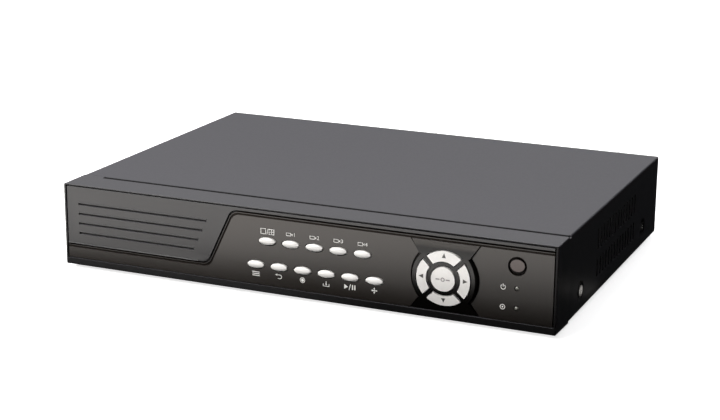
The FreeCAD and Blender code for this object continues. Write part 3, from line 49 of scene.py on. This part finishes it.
BEZEL_LOW, BEZEL_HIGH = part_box("front_bezel")
CASE_HEIGHT = 0.0556
FRONT_CORNER = Vector((BEZEL_LOW.x, BEZEL_LOW.y, BEZEL_HIGH.z - CASE_HEIGHT))
PLATE_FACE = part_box("control_plate")[0].y
PRINT_THICK = 0.03*MM


def middle(node):
    low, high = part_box(node)
    return (low + high)/2


# Camera and light ---------------------------------------------------------------


def make_camera():
    """A long lens to the right of the front, looking down and to the left."""
    data = bpy.data.cameras.new("camera")
    data.sensor_width = 36
    data.lens = 83.53
    data.clip_end = 60
    camera = bpy.data.objects.new("camera", data)
    bpy.context.scene.collection.objects.link(camera)
    camera.location = FRONT_CORNER + Vector((0.6104, -0.9101, 0.3432))
    turn = (Matrix.Rotation(math.radians(23.43), 4, "Z")
            @ Matrix.Rotation(math.radians(90 - 15.78), 4, "X")
            @ Matrix.Rotation(math.radians(0.46), 4, "Z"))
    camera.rotation_euler = turn.to_euler()
    bpy.context.scene.camera = camera


def area_light(name, place, target, size, power, colour=(1, 1, 1)):
    """A rectangular lamp that faces a target."""
    data = bpy.data.lights.new(name, "AREA")
    data.shape = "RECTANGLE"
    data.size = size[0]
    data.size_y = size[1]
    data.energy = power
    data.color = colour
    light = bpy.data.objects.new(name, data)
    bpy.context.scene.collection.objects.link(light)
    light.location = place
    light.rotation_euler = (Vector(target) - Vector(place)).to_track_quat("-Z", "Y").to_euler()
    return light


def make_lights():
    area_light("overhead", (-0.32, 0.35, 1.5), (0, 0, 0), (2.4, 1.8), 23)
    area_light("front_left", (-0.7, -1.2, 0.95), (-0.05, -0.12, 0.03), (1.0, 0.7), 34, (1, 0.985, 0.96))
    back = area_light("back_sheen", (-0.45, 1.9, 0.62), (0, 0.1, 0.05), (2.6, 0.9), 2.6)
    back.visible_diffuse = False
    rear = area_light("rear_fill", (0.1, 1.3, 0.28), (0, 0.12, 0.03), (0.8, 0.4), 9)
    rear.visible_glossy = False


def make_world():
    """Soft light from above that fades below the horizon."""
    world = bpy.data.worlds.new("studio")
    bpy.context.scene.world = world
    world.use_nodes = True
    tree = world.node_tree
    direction = tree.nodes.new("ShaderNodeTexCoord")
    parts = tree.nodes.new("ShaderNodeSeparateXYZ")
    tree.links.new(direction.outputs["Generated"], parts.inputs[0])
    rise = tree.nodes.new("ShaderNodeMapRange")
    tree.links.new(parts.outputs["Z"], rise.inputs["Value"])
    rise.inputs["From Min"].default_value = -0.1
    rise.inputs["From Max"].default_value = 0.5
    rise.inputs["To Min"].default_value = 0.02
    rise.inputs["To Max"].default_value = 0.45
    tree.links.new(rise.outputs["Result"], tree.nodes["Background"].inputs["Strength"])


def emitter(name, strength):
    """A material that only glows."""
    material = bpy.data.materials.new(name)
    material.use_nodes = True
    shader = material.node_tree.nodes["Principled BSDF"]
    shader.inputs["Base Color"].default_value = (0, 0, 0, 1)
    shader.inputs["Specular IOR Level"].default_value = 0
    shader.inputs["Emission Color"].default_value = (1, 0.965, 0.925, 1)
    shader.inputs["Emission Strength"].default_value = strength
    return material


def make_floor():
    bpy.ops.mesh.primitive_plane_add(size=30, location=(0, 0, 0))
    floor = bpy.context.object
    floor.name = "floor"
    material = bpy.data.materials.new("floor_white")
    material.use_nodes = True
    shader = material.node_tree.nodes["Principled BSDF"]
    shader.inputs["Base Color"].default_value = (0.86, 0.86, 0.87, 1)
    shader.inputs["Roughness"].default_value = 0.9
    shader.inputs["Emission Color"].default_value = (1, 1, 1, 1)
    shader.inputs["Emission Strength"].default_value = 0.76
    floor.data.materials.append(material)
    floor.visible_diffuse = False
    floor.visible_glossy = False


def make_card(name, corners, strength):
    """A glowing card flat on the table, seen only in the gloss of the case."""
    mesh = bpy.data.meshes.new(name)
    mesh.from_pydata([(across, back, 0.0015) for across, back in corners], [], [(0, 1, 2, 3)])
    mesh.materials.append(emitter(name + "_glow", strength))
    card = bpy.data.objects.new(name, mesh)
    bpy.context.scene.collection.objects.link(card)
    card.visible_camera = False
    card.visible_diffuse = False
    card.visible_shadow = False


def side_screw():
    """The middle of the screw head near the front of the right side."""
    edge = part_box("cover_screws")[1].x - 2*MM
    points = [vertex.co for vertex in NODES["cover_screws"].data.vertices
              if vertex.co.x > edge and vertex.co.y < 0]
    return sum(points, Vector())/len(points)


def make_cards():
    """A wide card before the front, running past it at the far left, and a small one by a side screw."""
    face = FRONT_CORNER.y
    far = face - 1.0
    left, right = -1.3, 0.6
    make_card("front_card", [(left, far), (right, far), (right, face - 0.18), (left, face + 0.155)], 3.7)
    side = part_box("top_cover")[1].x
    near, beyond = side + 8*MM, side + 20*MM
    screw = side_screw().y
    low, high = screw + 35*MM, screw + 55*MM
    make_card("screw_card", [(near, low), (beyond, low), (beyond, high), (near, high)], 0.45)


# Materials ------------------------------------------------------------------------

# Noise values mostly lie between these two
NOISE_SPAN = (0.3, 0.7)


class Surface:
    """A principled material with object-space grain."""

    def __init__(self, name, colour, roughness, metallic=0.0, specular=0.5):
        self.material = bpy.data.materials.new(name)
        self.material.use_nodes = True
        self.tree = self.material.node_tree
        self.shader = self.tree.nodes["Principled BSDF"]
        self.shader.inputs["Base Color"].default_value = (*colour, 1)
        self.shader.inputs["Roughness"].default_value = roughness
        self.shader.inputs["Metallic"].default_value = metallic
        self.shader.inputs["Specular IOR Level"].default_value = specular
        self.colour = colour
        self.roughness = roughness
        self.place = self.tree.nodes.new("ShaderNodeTexCoord").outputs["Object"]

    def noise(self, scale, detail=4.0, stretch=None):
        source = self.place
        if stretch:
            mapping = self.tree.nodes.new("ShaderNodeMapping")
            mapping.inputs["Scale"].default_value = stretch
            self.tree.links.new(source, mapping.inputs["Vector"])
            source = mapping.outputs["Vector"]
        node = self.tree.nodes.new("ShaderNodeTexNoise")
        node.inputs["Scale"].default_value = scale
        node.inputs["Detail"].default_value = detail
        self.tree.links.new(source, node.inputs["Vector"])
        return node.outputs["Fac"]

    def ramp(self, value, start, end, low, high):
        """A straight ramp from one value to another, held level beyond its ends."""
        node = self.tree.nodes.new("ShaderNodeMapRange")
        node.inputs["From Min"].default_value = start
        node.inputs["From Max"].default_value = end
        node.inputs["To Min"].default_value = low
        node.inputs["To Max"].default_value = high
        self.tree.links.new(value, node.inputs["Value"])
        return node.outputs["Result"]

    def combine(self, operation, *values):
        """Arithmetic on sockets and plain numbers."""
        node = self.tree.nodes.new("ShaderNodeMath")
        node.operation = operation
        for socket, value in zip(node.inputs, values):
            if isinstance(value, float):
                socket.default_value = value
            else:
                self.tree.links.new(value, socket)
        return node.outputs[0]

    def split(self, source):
        """The X, Y and Z of a vector."""
        parts = self.tree.nodes.new("ShaderNodeSeparateXYZ")
        self.tree.links.new(source, parts.inputs[0])
        return parts.outputs

    def gloss(self, level):
        """Let the strength of the reflections follow a socket."""
        self.tree.links.new(level, self.shader.inputs["Specular IOR Level"])

    def tint(self, factor, dark, light):
        """Vary the base colour between two shares of itself."""
        node = self.tree.nodes.new("ShaderNodeMix")
        node.data_type = "RGBA"
        node.inputs["A"].default_value = (*[share*dark for share in self.colour], 1)
        node.inputs["B"].default_value = (*[share*light for share in self.colour], 1)
        self.tree.links.new(factor, node.inputs["Factor"])
        self.tree.links.new(node.outputs["Result"], self.shader.inputs["Base Color"])
        return self

    def mottle(self, scale, spread):
        """Roughness that wanders round its own value."""
        value = self.ramp(self.noise(scale), *NOISE_SPAN, self.roughness - spread, self.roughness + spread)
        self.tree.links.new(value, self.shader.inputs["Roughness"])
        return self

    def bump(self, factor, height, strength=0.5):
        node = self.tree.nodes.new("ShaderNodeBump")
        node.inputs["Strength"].default_value = strength
        node.inputs["Distance"].default_value = height
        self.tree.links.new(factor, node.inputs["Height"])
        self.tree.links.new(node.outputs["Normal"], self.shader.inputs["Normal"])
        return self


def grained(name, colour, roughness, grain=1800.0, height=0.00004, metallic=0.0, specular=0.5, strength=0.5):
    surface = Surface(name, colour, roughness, metallic, specular)
    surface.tint(surface.noise(grain/6), 0.92, 1.08)
    surface.mottle(grain/9, 0.04)
    surface.bump(surface.noise(grain), height, strength)
    return surface.material


def brushed(name, colour, roughness, direction):
    """Metal with fine parallel scratches along one axis."""
    surface = Surface(name, colour, roughness, 1.0)
    stretch = [1.0 if axis == direction else 40.0 for axis in range(3)]
    lines = surface.noise(60, 6.0, stretch)
    surface.tint(lines, 0.85, 1.1)
    surface.mottle(120, 0.06)
    surface.bump(lines, 0.00001, 0.3)
    return surface.material


def seam_front():
    """How far forward the flat top of the cover reaches."""
    cover = NODES["top_cover"].data
    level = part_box("top_cover")[1].z - 0.2*MM
    return min(vertex.co.y for vertex in cover.vertices if vertex.co.z > level)


def painted_steel():
    """Smooth dark painted finish, with painted shade taking it almost to black along the front edge of the
    roof, where the gap behind the bezel lies.
    """
    surface = Surface("case_paint", (0.075, 0.074, 0.084), 0.5)
    surface.mottle(700, 0.02)
    surface.bump(surface.noise(2600), 0.00002, 0.25)
    front = seam_front()
    # Painted shade: the colour falls to 12 % along the roof's front edge to stand in for the shadow in the
    # gap.
    edge = surface.ramp(surface.split(surface.place)["Y"], front + 0.2*MM, front + 0.9*MM, 0.0, 1.0)
    surface.tint(edge, 0.12, 1.0)
    return surface.material


def bezel_plastic(name, left_gloss, right_gloss, dark_share, side_light_share):
    """Moulding whose upward faces, and a shell's side faces, take the cover's lighter colour as painted light
    while its front faces stay dark as painted shade; colour and gloss also fall inside recesses, and on a
    shell towards the right, as painted shade.
    """
    surface = Surface(name, (0.076, 0.075, 0.083), 0.42)
    # Painted light and shade by face direction: upward faces, and on a shell the side faces, get the lighter
    # cover colour and stronger reflections; front faces stay dark.
    lean = surface.split(surface.tree.nodes.new("ShaderNodeTexCoord").outputs["Normal"])
    upward = surface.ramp(lean["Z"], 0.6, 0.95, 0.0, 1.0)
    sideways = surface.ramp(surface.combine("ABSOLUTE", lean["X"]), 0.6, 0.95, 0.0, side_light_share)
    facing_light_share = surface.combine("MAXIMUM", upward, sideways)
    place = surface.split(surface.place)
    # Painted shade: the dark front colour and gloss fall inside recesses behind the front face and, where the
    # two gloss values differ, towards the right.
    face_gloss = surface.ramp(place["X"], -20*MM, 60*MM, left_gloss, right_gloss)
    recess_shade = surface.ramp(place["Y"], BEZEL_LOW.y + 0.6*MM, BEZEL_LOW.y + 1.6*MM, 1.0, 0.4)
    gloss = surface.combine("MULTIPLY", face_gloss, recess_shade)
    surface.gloss(surface.combine("MAXIMUM", gloss, surface.combine("MULTIPLY", facing_light_share, 0.5)))
    share = surface.combine("MULTIPLY", gloss, dark_share)
    surface.tint(surface.combine("MAXIMUM", share, facing_light_share), 0.0, 1.0)
    surface.mottle(700, 0.02)
    surface.bump(surface.noise(2200), 0.00002, 0.25)
    return surface.material


def control_gloss():
    """Semi-gloss dark moulding with painted shade: its colour falls towards the lower right, and its
    reflections weaken along the lower right and nearly vanish in its recesses.
    """
    surface = Surface("control_gloss", (0.0145, 0.0112, 0.0092), 0.37)
    low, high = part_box("control_plate")
    place = surface.split(surface.place)
    # Painted shade: reflections nearly vanish in recesses behind the plate face and weaken along the bottom
    # towards the right.
    gloss = surface.ramp(place["Y"], PLATE_FACE + 0.2*MM, PLATE_FACE + 0.7*MM, 0.5, 0.05)
    foot = surface.combine("MAXIMUM", surface.ramp(place["Z"], low.z, low.z + 14*MM, 0.45, 1.0),
                           surface.ramp(place["X"], low.x + 120*MM, high.x - 60*MM, 1.0, 0.0))
    surface.gloss(surface.combine("MULTIPLY", gloss, foot))
    # Painted light and shade: the colour lightens towards the upper left and darkens towards the lower right.
    leftward = surface.ramp(place["X"], high.x, low.x + 100*MM, 0.0, 0.45)
    upward = surface.ramp(place["Z"], low.z, high.z, 0.0, 0.55)
    surface.tint(surface.combine("ADD", leftward, upward), 0.35, 1.35)
    surface.mottle(900, 0.02)
    surface.bump(surface.noise(1500), 0.00001, 0.25)
    return surface.material


def boss_gloss():
    """The moulding round the pad, kept near black as painted shade everywhere below the flare at its top,
    whose full colour is painted light, with reflections fading out towards its foot.
    """
    surface = Surface("boss_gloss", (0.036, 0.032, 0.029), 0.37)
    low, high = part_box("navigation_boss")
    level = surface.split(surface.place)["Z"]
    # Painted shade: reflections fade towards the foot, and the colour stays near black below the top flare.
    surface.gloss(surface.ramp(level, low.z + 8*MM, middle("navigation_boss").z, 0.01, 0.42))
    surface.tint(surface.ramp(level, high.z - 4.5*MM, high.z - 2.5*MM, 0.0, 1.0), 0.06, 1.0)
    surface.mottle(900, 0.02)
    surface.bump(surface.noise(1500), 0.00001, 0.25)
    return surface.material


def window_tint():
    """Dark red infrared window with a black rim of painted shade, broadest along its foot, standing in for
    the shadow in the hole round it.
    """
    surface = Surface("window_tint", (0.035, 0.019, 0.017), 0.25)
    centre = middle("remote_window")
    hidden_brim = 1.2*MM
    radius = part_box("remote_window")[1].x - centre.x - hidden_brim
    place = surface.split(surface.place)
    across = surface.ramp(place["X"], centre.x - radius, centre.x + radius, -1.05, 1.05)
    rise = surface.ramp(place["Z"], centre.z - radius, centre.z + radius, -1.34, 1.16)
    distance = surface.combine("ADD", surface.combine("MULTIPLY", across, across),
                               surface.combine("MULTIPLY", rise, rise))
    # Painted shade: the colour and reflections fall away on a rim set low on the window, where the hole round
    # it is in shadow.
    surface.tint(surface.ramp(distance, 0.92, 1.04, 1.0, 0.0), 0.05, 1.0)
    surface.gloss(surface.ramp(distance, 0.92, 1.04, 0.5, 0.04))
    surface.mottle(900, 0.02)
    surface.bump(surface.noise(900), 0.00001, 0.2)
    return surface.material


def board_green():
    surface = Surface("board_green", (0.015, 0.12, 0.05), 0.35)
    tracks = surface.noise(140, 1.0, (1, 6, 1))
    surface.tint(tracks, 0.7, 1.5)
    surface.bump(surface.noise(500), 0.00003)
    return surface.material


MATERIALS = {
    "bezel_plastic": bezel_plastic("bezel_plastic", 0.5, 0.5, 0.42, 0.0),
    "bezel_shell": bezel_plastic("bezel_shell", 0.4, 0.15, 0.3, 1.0),
    "control_gloss": control_gloss(),
    "boss_gloss": boss_gloss(),
    "key_white": grained("key_white", (0.87, 0.855, 0.84), 0.3, 900, 0.00001, strength=0.2),
    "window_tint": window_tint(),
    "lamp_lens": grained("lamp_lens", (0.22, 0.22, 0.2), 0.25, 2500, 0.00002),
    "case_paint": painted_steel(),
    "zinc_steel": brushed("zinc_steel", (0.55, 0.56, 0.57), 0.38, 0),
    "bright_screw": brushed("bright_screw", (0.78, 0.78, 0.77), 0.22, 1),
    "foot_rubber": grained("foot_rubber", (0.025, 0.025, 0.025), 0.8, 1200, 0.0001),
    "board_green": board_green(),
    "black_plastic": grained("black_plastic", (0.022, 0.022, 0.024), 0.4, 1800, 0.00004),
    "heat_sink_aluminium": brushed("heat_sink_aluminium", (0.62, 0.63, 0.65), 0.35, 1),
    "capacitor_sleeve": grained("capacitor_sleeve", (0.03, 0.03, 0.1), 0.3, 700, 0.00002),
    "connector_nickel": brushed("connector_nickel", (0.74, 0.72, 0.68), 0.2, 1),
    "white_liner": grained("white_liner", (0.82, 0.82, 0.79), 0.45, 900, 0.00002),
    "monitor_blue": grained("monitor_blue", (0.02, 0.05, 0.33), 0.4, 900, 0.00003),
    "terminal_green": grained("terminal_green", (0.03, 0.27, 0.08), 0.4, 900, 0.00003),
    "cast_drive": grained("cast_drive", (0.48, 0.48, 0.49), 0.5, 700, 0.0001, metallic=1.0),
    "bright_steel": brushed("bright_steel", (0.65, 0.65, 0.66), 0.3, 0),
    "ribbon_grey": grained("ribbon_grey", (0.5, 0.5, 0.53), 0.5, 600, 0.00005),
    "cable_red": grained("cable_red", (0.45, 0.025, 0.02), 0.4, 700, 0.00003),
    "mirror_disc": brushed("mirror_disc", (0.85, 0.85, 0.86), 0.06, 2),
    "print_white": grained("print_white", (0.8, 0.8, 0.78), 0.5, 900, 0.00001),
    "print_shaded_dark": grained("print_shaded_dark", (0.03, 0.03, 0.03), 0.5, 900, 0.00001),
    "print_grey": grained("print_grey", (0.3, 0.27, 0.28), 0.5, 900, 0.00001),
    "print_slate": grained("print_slate", (0.07, 0.068, 0.065), 0.5, 900, 0.00001),
}
SLOT_OF = {entry["node"]: entry["material_slot"] for entry in frame["record"]["subparts"]}
FINISH_OF = {"front_bezel": "bezel_shell", "navigation_boss": "boss_gloss"}
SOFT_EDGE = 0.12*MM
EDGE_OF = {"front_bezel": 0.12*MM, "top_cover": 0.1*MM, "control_plate": 0.15*MM, "grille_plate": 0.5*MM,
           "navigation_boss": 0.3*MM, "rubber_feet": 0.4*MM}


def dress(name, node):
    """Give a CAD node its material and soft, evenly shaded edges."""
    node.data.materials.clear()
    node.data.materials.append(MATERIALS[FINISH_OF.get(name, SLOT_OF[name])])
    for face in node.data.polygons:
        face.material_index = 0
        face.use_smooth = True
    weld = node.modifiers.new("weld", "WELD")
    weld.merge_threshold = 0.002*MM
    bevel = node.modifiers.new("soft_edges", "BEVEL")
    bevel.width = EDGE_OF.get(name, SOFT_EDGE)
    bevel.segments = 2
    bevel.limit_method = "ANGLE"
    bevel.angle_limit = math.radians(40)
    bevel.use_clamp_overlap = True
    bevel.harden_normals = True
    weight = node.modifiers.new("even_shading", "WEIGHTED_NORMAL")
    weight.mode = "FACE_AREA_WITH_ANGLE"
    weight.keep_sharp = True
    weight.weight = 100


make_camera()
make_lights()
make_world()
make_floor()
make_cards()
for name, node in NODES.items():
    dress(name, node)

# Printed marks -----------------------------------------------------------------------

FRONT = -1
BACK = 1
VIDEO_INPUTS = 4


def bar(left, low, right, high):
    return [(left, low), (right, low), (right, high), (left, high)]


def disc(across, up, radius, steps=28):
    return [(across + radius*math.cos(2*math.pi*step/steps), up + radius*math.sin(2*math.pi*step/steps))
            for step in range(steps)]


def arc_band(across, up, radius, width, start, end, steps=24):
    """A curved stroke between two angles in degrees."""
    angles = [math.radians(start + (end - start)*step/steps) for step in range(steps + 1)]
    outer = [(across + (radius + width/2)*math.cos(a), up + (radius + width/2)*math.sin(a)) for a in angles]
    inner = [(across + (radius - width/2)*math.cos(a), up + (radius - width/2)*math.sin(a)) for a in angles]
    return outer + inner[::-1]


def frame_loops(left, low, right, high, stroke):
    return [bar(left, low, right, high), bar(left + stroke, low + stroke, right - stroke, high - stroke)]


def evaluated_mesh(holder):
    return bpy.data.meshes.new_from_object(holder.evaluated_get(bpy.context.evaluated_depsgraph_get()))


def mark(name, shapes, centre, body, material, side=FRONT):
    """A thin print in the XZ plane; each shape is a list of loops in mm, with inner loops as holes."""
    curve = bpy.data.curves.new(name, "CURVE")
    curve.dimensions = "2D"
    curve.fill_mode = "BOTH"
    curve.extrude = PRINT_THICK/2
    meshes = []
    for loops in shapes:
        curve.splines.clear()
        for loop in loops:
            spline = curve.splines.new("POLY")
            spline.points.add(len(loop) - 1)
            for point, (across, up) in zip(spline.points, loop):
                point.co = (across*MM, up*MM, 0, 1)
            spline.use_cyclic_u = True
        holder = bpy.data.objects.new(name + "_outline", curve)
        bpy.context.scene.collection.objects.link(holder)
        bpy.context.view_layer.update()
        meshes.append(evaluated_mesh(holder))
        bpy.data.objects.remove(holder)
    return finish_mark(name, meshes, centre, body, material, side)


def finish_mark(name, meshes, centre, body, material, side=FRONT):
    """Join flat meshes into one upright print that rides a body."""
    joined = bmesh.new()
    for mesh in meshes:
        joined.from_mesh(mesh)
    mesh = bpy.data.meshes.new(name)
    joined.to_mesh(mesh)
    joined.free()
    half_turn = Matrix.Rotation(math.pi if side == BACK else 0, 4, "Z")
    mesh.transform(Matrix.Translation(centre) @ half_turn @ Matrix.Rotation(math.radians(90), 4, "X"))
    mesh.materials.clear()
    mesh.materials.append(MATERIALS[material])
    piece = bpy.data.objects.new(name, mesh)
    bpy.context.scene.collection.objects.link(piece)
    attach(piece, body)
    return piece


def land(piece, node, side=FRONT):
    """Lay a print on the front or back face of a node, whatever way that face leans."""
    mesh = NODES[node].data
    surface = BVHTree.FromPolygons([vertex.co for vertex in mesh.vertices],
                                   [face.vertices for face in mesh.polygons])
    level = sum(vertex.co.y for vertex in piece.data.vertices)/len(piece.data.vertices)
    start = middle(node).y + side*50*MM
    for vertex in piece.data.vertices:
        hit = surface.ray_cast(Vector((vertex.co.x, start, vertex.co.z)), Vector((0, -side, 0)))[0]
        vertex.co.y = hit.y + side*PRINT_THICK/2 + (vertex.co.y - level)


def stretches(node, gap=3*MM):
    """The middles of the separate stretches of a node along X, from right to left."""
    points = sorted((vertex.co.x for vertex in NODES[node].data.vertices), reverse=True)
    groups = [[points[0]]]
    for point in points[1:]:
        if groups[-1][-1] - point > gap:
            groups.append([])
        groups[-1].append(point)
    return [(group[0] + group[-1])/2 for group in groups]


def digit(text, height):
    """The outline mesh of one numeral, centred, in metres."""
    data = bpy.data.curves.new("digit_" + text, "FONT")
    data.body = text
    data.size = height*1.35
    data.align_x = "CENTER"
    data.align_y = "CENTER"
    data.extrude = PRINT_THICK/2
    holder = bpy.data.objects.new("digit_" + text, data)
    bpy.context.scene.collection.objects.link(holder)
    bpy.context.view_layer.update()
    mesh = evaluated_mesh(holder)
    bpy.data.objects.remove(holder)
    return mesh


def place_by_key(node, rise):
    """The point on the control plate straight above or below a key."""
    centre = middle(node)
    return Vector((centre.x, PLATE_FACE - PRINT_THICK/2, centre.z + rise))


def arrow(across, up, size, angle):
    """A solid triangle that points along an angle in degrees."""
    turns = [math.radians(angle + turn) for turn in (0, 130, 230)]
    return [(across + size*math.cos(turn), up + size*math.sin(turn)) for turn in turns]


def make_key_marks():
    """Small signs above the upper row of keys and below the lower row, in mm about each key's middle."""
    stroke = 0.4
    display = [frame_loops(-4.7, -1.9, -0.9, 1.9, stroke),
               [[(-0.5, -2.0), (-0.1, -2.0), (0.8, 2.0), (0.4, 2.0)]],
               frame_loops(1.1, -1.9, 4.9, 1.9, stroke), [bar(2.8, -1.4, 3.2, 1.4)],
               [bar(1.6, -0.2, 2.7, 0.2)], [bar(3.3, -0.2, 4.4, 0.2)]]
    mark("display_mark", display, place_by_key("display_button", 6.5*MM), "recorder", "print_white")
    camera = [frame_loops(-3.2, -1.1, 0.2, 1.1, 0.35), [[(0.3, 0), (1.3, 0.9), (1.3, -0.9)]]]
    for number in range(1, VIDEO_INPUTS + 1):
        centre = place_by_key(f"channel_{number}_button", 6.5*MM)
        mark(f"channel_{number}_camera_mark", camera, centre, "recorder", "print_white")
        finish_mark(f"channel_{number}_digit", [digit(str(number), 2.5*MM)], centre + Vector((2.6*MM, 0, 0)),
                    "recorder", "print_white")
    lower = {
        "menu": [[bar(-2.6, level - 0.25, 2.6, level + 0.25)] for level in (-1.2, 0, 1.2)],
        "escape": [[arc_band(0.5, 0, 1.25, 0.45, -90, 90)], [bar(-1.6, 1.025, 0.45, 1.475)],
                   [bar(-1.0, -1.475, 0.45, -1.025)], [arrow(-1.9, 1.25, 1.0, 180)]],
        "record": [[disc(0, 0, 1.0)], [disc(0, 0, 1.8), disc(0, 0, 1.4)]],
        "backup": [[bar(-0.25, -0.1, 0.25, 1.6)], [arrow(0, -0.5, 0.9, -90)],
                   [[(-2.2, 0), (-1.8, 0), (-1.8, -1.5), (1.8, -1.5), (1.8, 0), (2.2, 0), (2.2, -1.9),
                     (-2.2, -1.9)]]],
        "play": [[[(-4.0, -1.6), (-4.0, 1.6), (-1.4, 0)]],
                 [[(-0.9, -2.0), (-0.45, -2.0), (0.55, 2.0), (0.1, 2.0)]],
                 [bar(1.3, -1.6, 2.1, 1.6)], [bar(2.9, -1.6, 3.7, 1.6)]],
        "camera": [[bar(-0.9, -0.2, 0.9, 0.2)], [bar(-0.2, 0.25, 0.2, 0.9)], [bar(-0.2, -0.9, 0.2, -0.25)]]
                  + [[arrow(1.45*along, 1.45*rise, 0.75, turn)]
                     for turn, along, rise in ((0, 1, 0), (90, 0, 1), (180, -1, 0), (270, 0, -1))],
    }
    for name, shapes in lower.items():
        mark(f"{name}_mark", shapes, place_by_key(f"{name}_button", -6.3*MM), "recorder", "print_white")


def make_pad_marks():
    """An arrow near the outer edge of each arc key and a ring between two bars on the centre key."""
    # The down arrow gets darker ink than the others as painted shade on the lowest arc key.
    for name, angle, ink in (("right", 0, "print_slate"), ("up", 90, "print_slate"),
                             ("left", 180, "print_slate"), ("down", 270, "print_shaded_dark")):
        outward = Vector((math.cos(math.radians(angle)), 0, math.sin(math.radians(angle))))
        centre = middle(f"{name}_key") + 0.8*MM*outward
        centre.y = PLATE_FACE
        centre.z += 0.5*MM
        piece = mark(f"{name}_arrow", [[arrow(0, 0, 1.8, angle)]], centre, f"{name}_key_body", ink)
        land(piece, f"{name}_key")
    centre = middle("enter_button")
    centre.y = PLATE_FACE
    loops = [[bar(-4.6, -0.4, -2.0, 0.4)], [disc(0, 0, 1.4), disc(0, 0, 0.7)], [bar(2.0, -0.4, 4.6, 0.4)]]
    land(mark("enter_mark", loops, centre, "enter_button_body", "print_grey"), "enter_button")


def make_lamp_marks():
    """A power sign and a disk sign to the left of the two lamps."""
    low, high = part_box("status_lamps")
    radius = (high.x - low.x)/2
    across = (low.x + high.x)/2 - 8.6*MM
    face = PLATE_FACE - PRINT_THICK/2
    power = [[arc_band(0, 0, 1.45, 0.45, 125, 415)], [bar(-0.22, 0.1, 0.22, 2.0)]]
    disk = [[disc(0, 0, 1.7), disc(0, 0, 1.25)], [disc(0, 0, 0.5)]]
    mark("power_mark", power, Vector((across, face, high.z - radius)), "recorder", "print_white")
    mark("disk_mark", disk, Vector((across, face, low.z + radius)), "recorder", "print_white")


def make_socket_marks():
    """Numbers over the video inputs and small signs over the other sockets on the back."""
    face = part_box("rear_panel")[1].y + PRINT_THICK/2

    def above(node, rise):
        centre = middle(node)
        return Vector((centre.x, face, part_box(node)[1].z + rise))

    screen = [frame_loops(-2.2, -1.1, 2.2, 1.7, 0.35), [bar(-1.0, -1.8, 1.0, -1.45)]]
    for number, across in enumerate(stretches("coax_jacks"), 1):
        centre = above("coax_jacks", 2.6*MM)
        centre.x = across
        if number <= VIDEO_INPUTS:
            finish_mark(f"input_{number}_digit", [digit(str(number), 2.6*MM)], centre, "recorder",
                        "print_white", BACK)
        else:
            mark("output_mark", screen, centre, "recorder", "print_white", BACK)
    mark("monitor_mark", screen, above("monitor_port", 2.8*MM), "recorder", "print_white", BACK)
    tree = [[bar(-0.7, 0.5, 0.7, 1.7)], [bar(-2.2, -1.7, -0.9, -0.6)], [bar(0.9, -1.7, 2.2, -0.6)],
            [bar(-0.15, 0, 0.15, 0.5)], [bar(-1.7, -0.25, 1.7, 0)], [bar(-1.7, -0.6, -1.4, -0.25)],
            [bar(1.4, -0.6, 1.7, -0.25)]]
    mark("network_mark", tree, above("network_port", 2.8*MM), "recorder", "print_white", BACK)
    dashes = [[bar(low, -0.65, low + 1.0, -0.25)] for low in (-2.0, -0.5, 1.0)]
    direct = [[bar(-2.0, 0.35, 2.0, 0.75)]] + dashes
    mark("power_input_mark", direct, above("power_socket", 2.4*MM), "recorder", "print_white", BACK)


def make_rocker_marks():
    """The usual line and ring on the two halves of the mains switch."""
    low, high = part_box("power_rocker")
    rise = (high.z - low.z)*0.24
    centre = (low + high)/2
    line = mark("rocker_line", [[bar(-0.25, -1.5, 0.25, 1.5)]], centre + Vector((0, 0, rise)), "rocker_body",
                "print_white", BACK)
    ring = mark("rocker_ring", [[disc(0, 0, 1.4), disc(0, 0, 1.0)]], centre - Vector((0, 0, rise)),
                "rocker_body", "print_white", BACK)
    land(line, "power_rocker", BACK)
    land(ring, "power_rocker", BACK)


make_key_marks()
make_pad_marks()
make_lamp_marks()
make_socket_marks()
make_rocker_marks()

bpy.context.scene.view_settings.view_transform = "Standard"
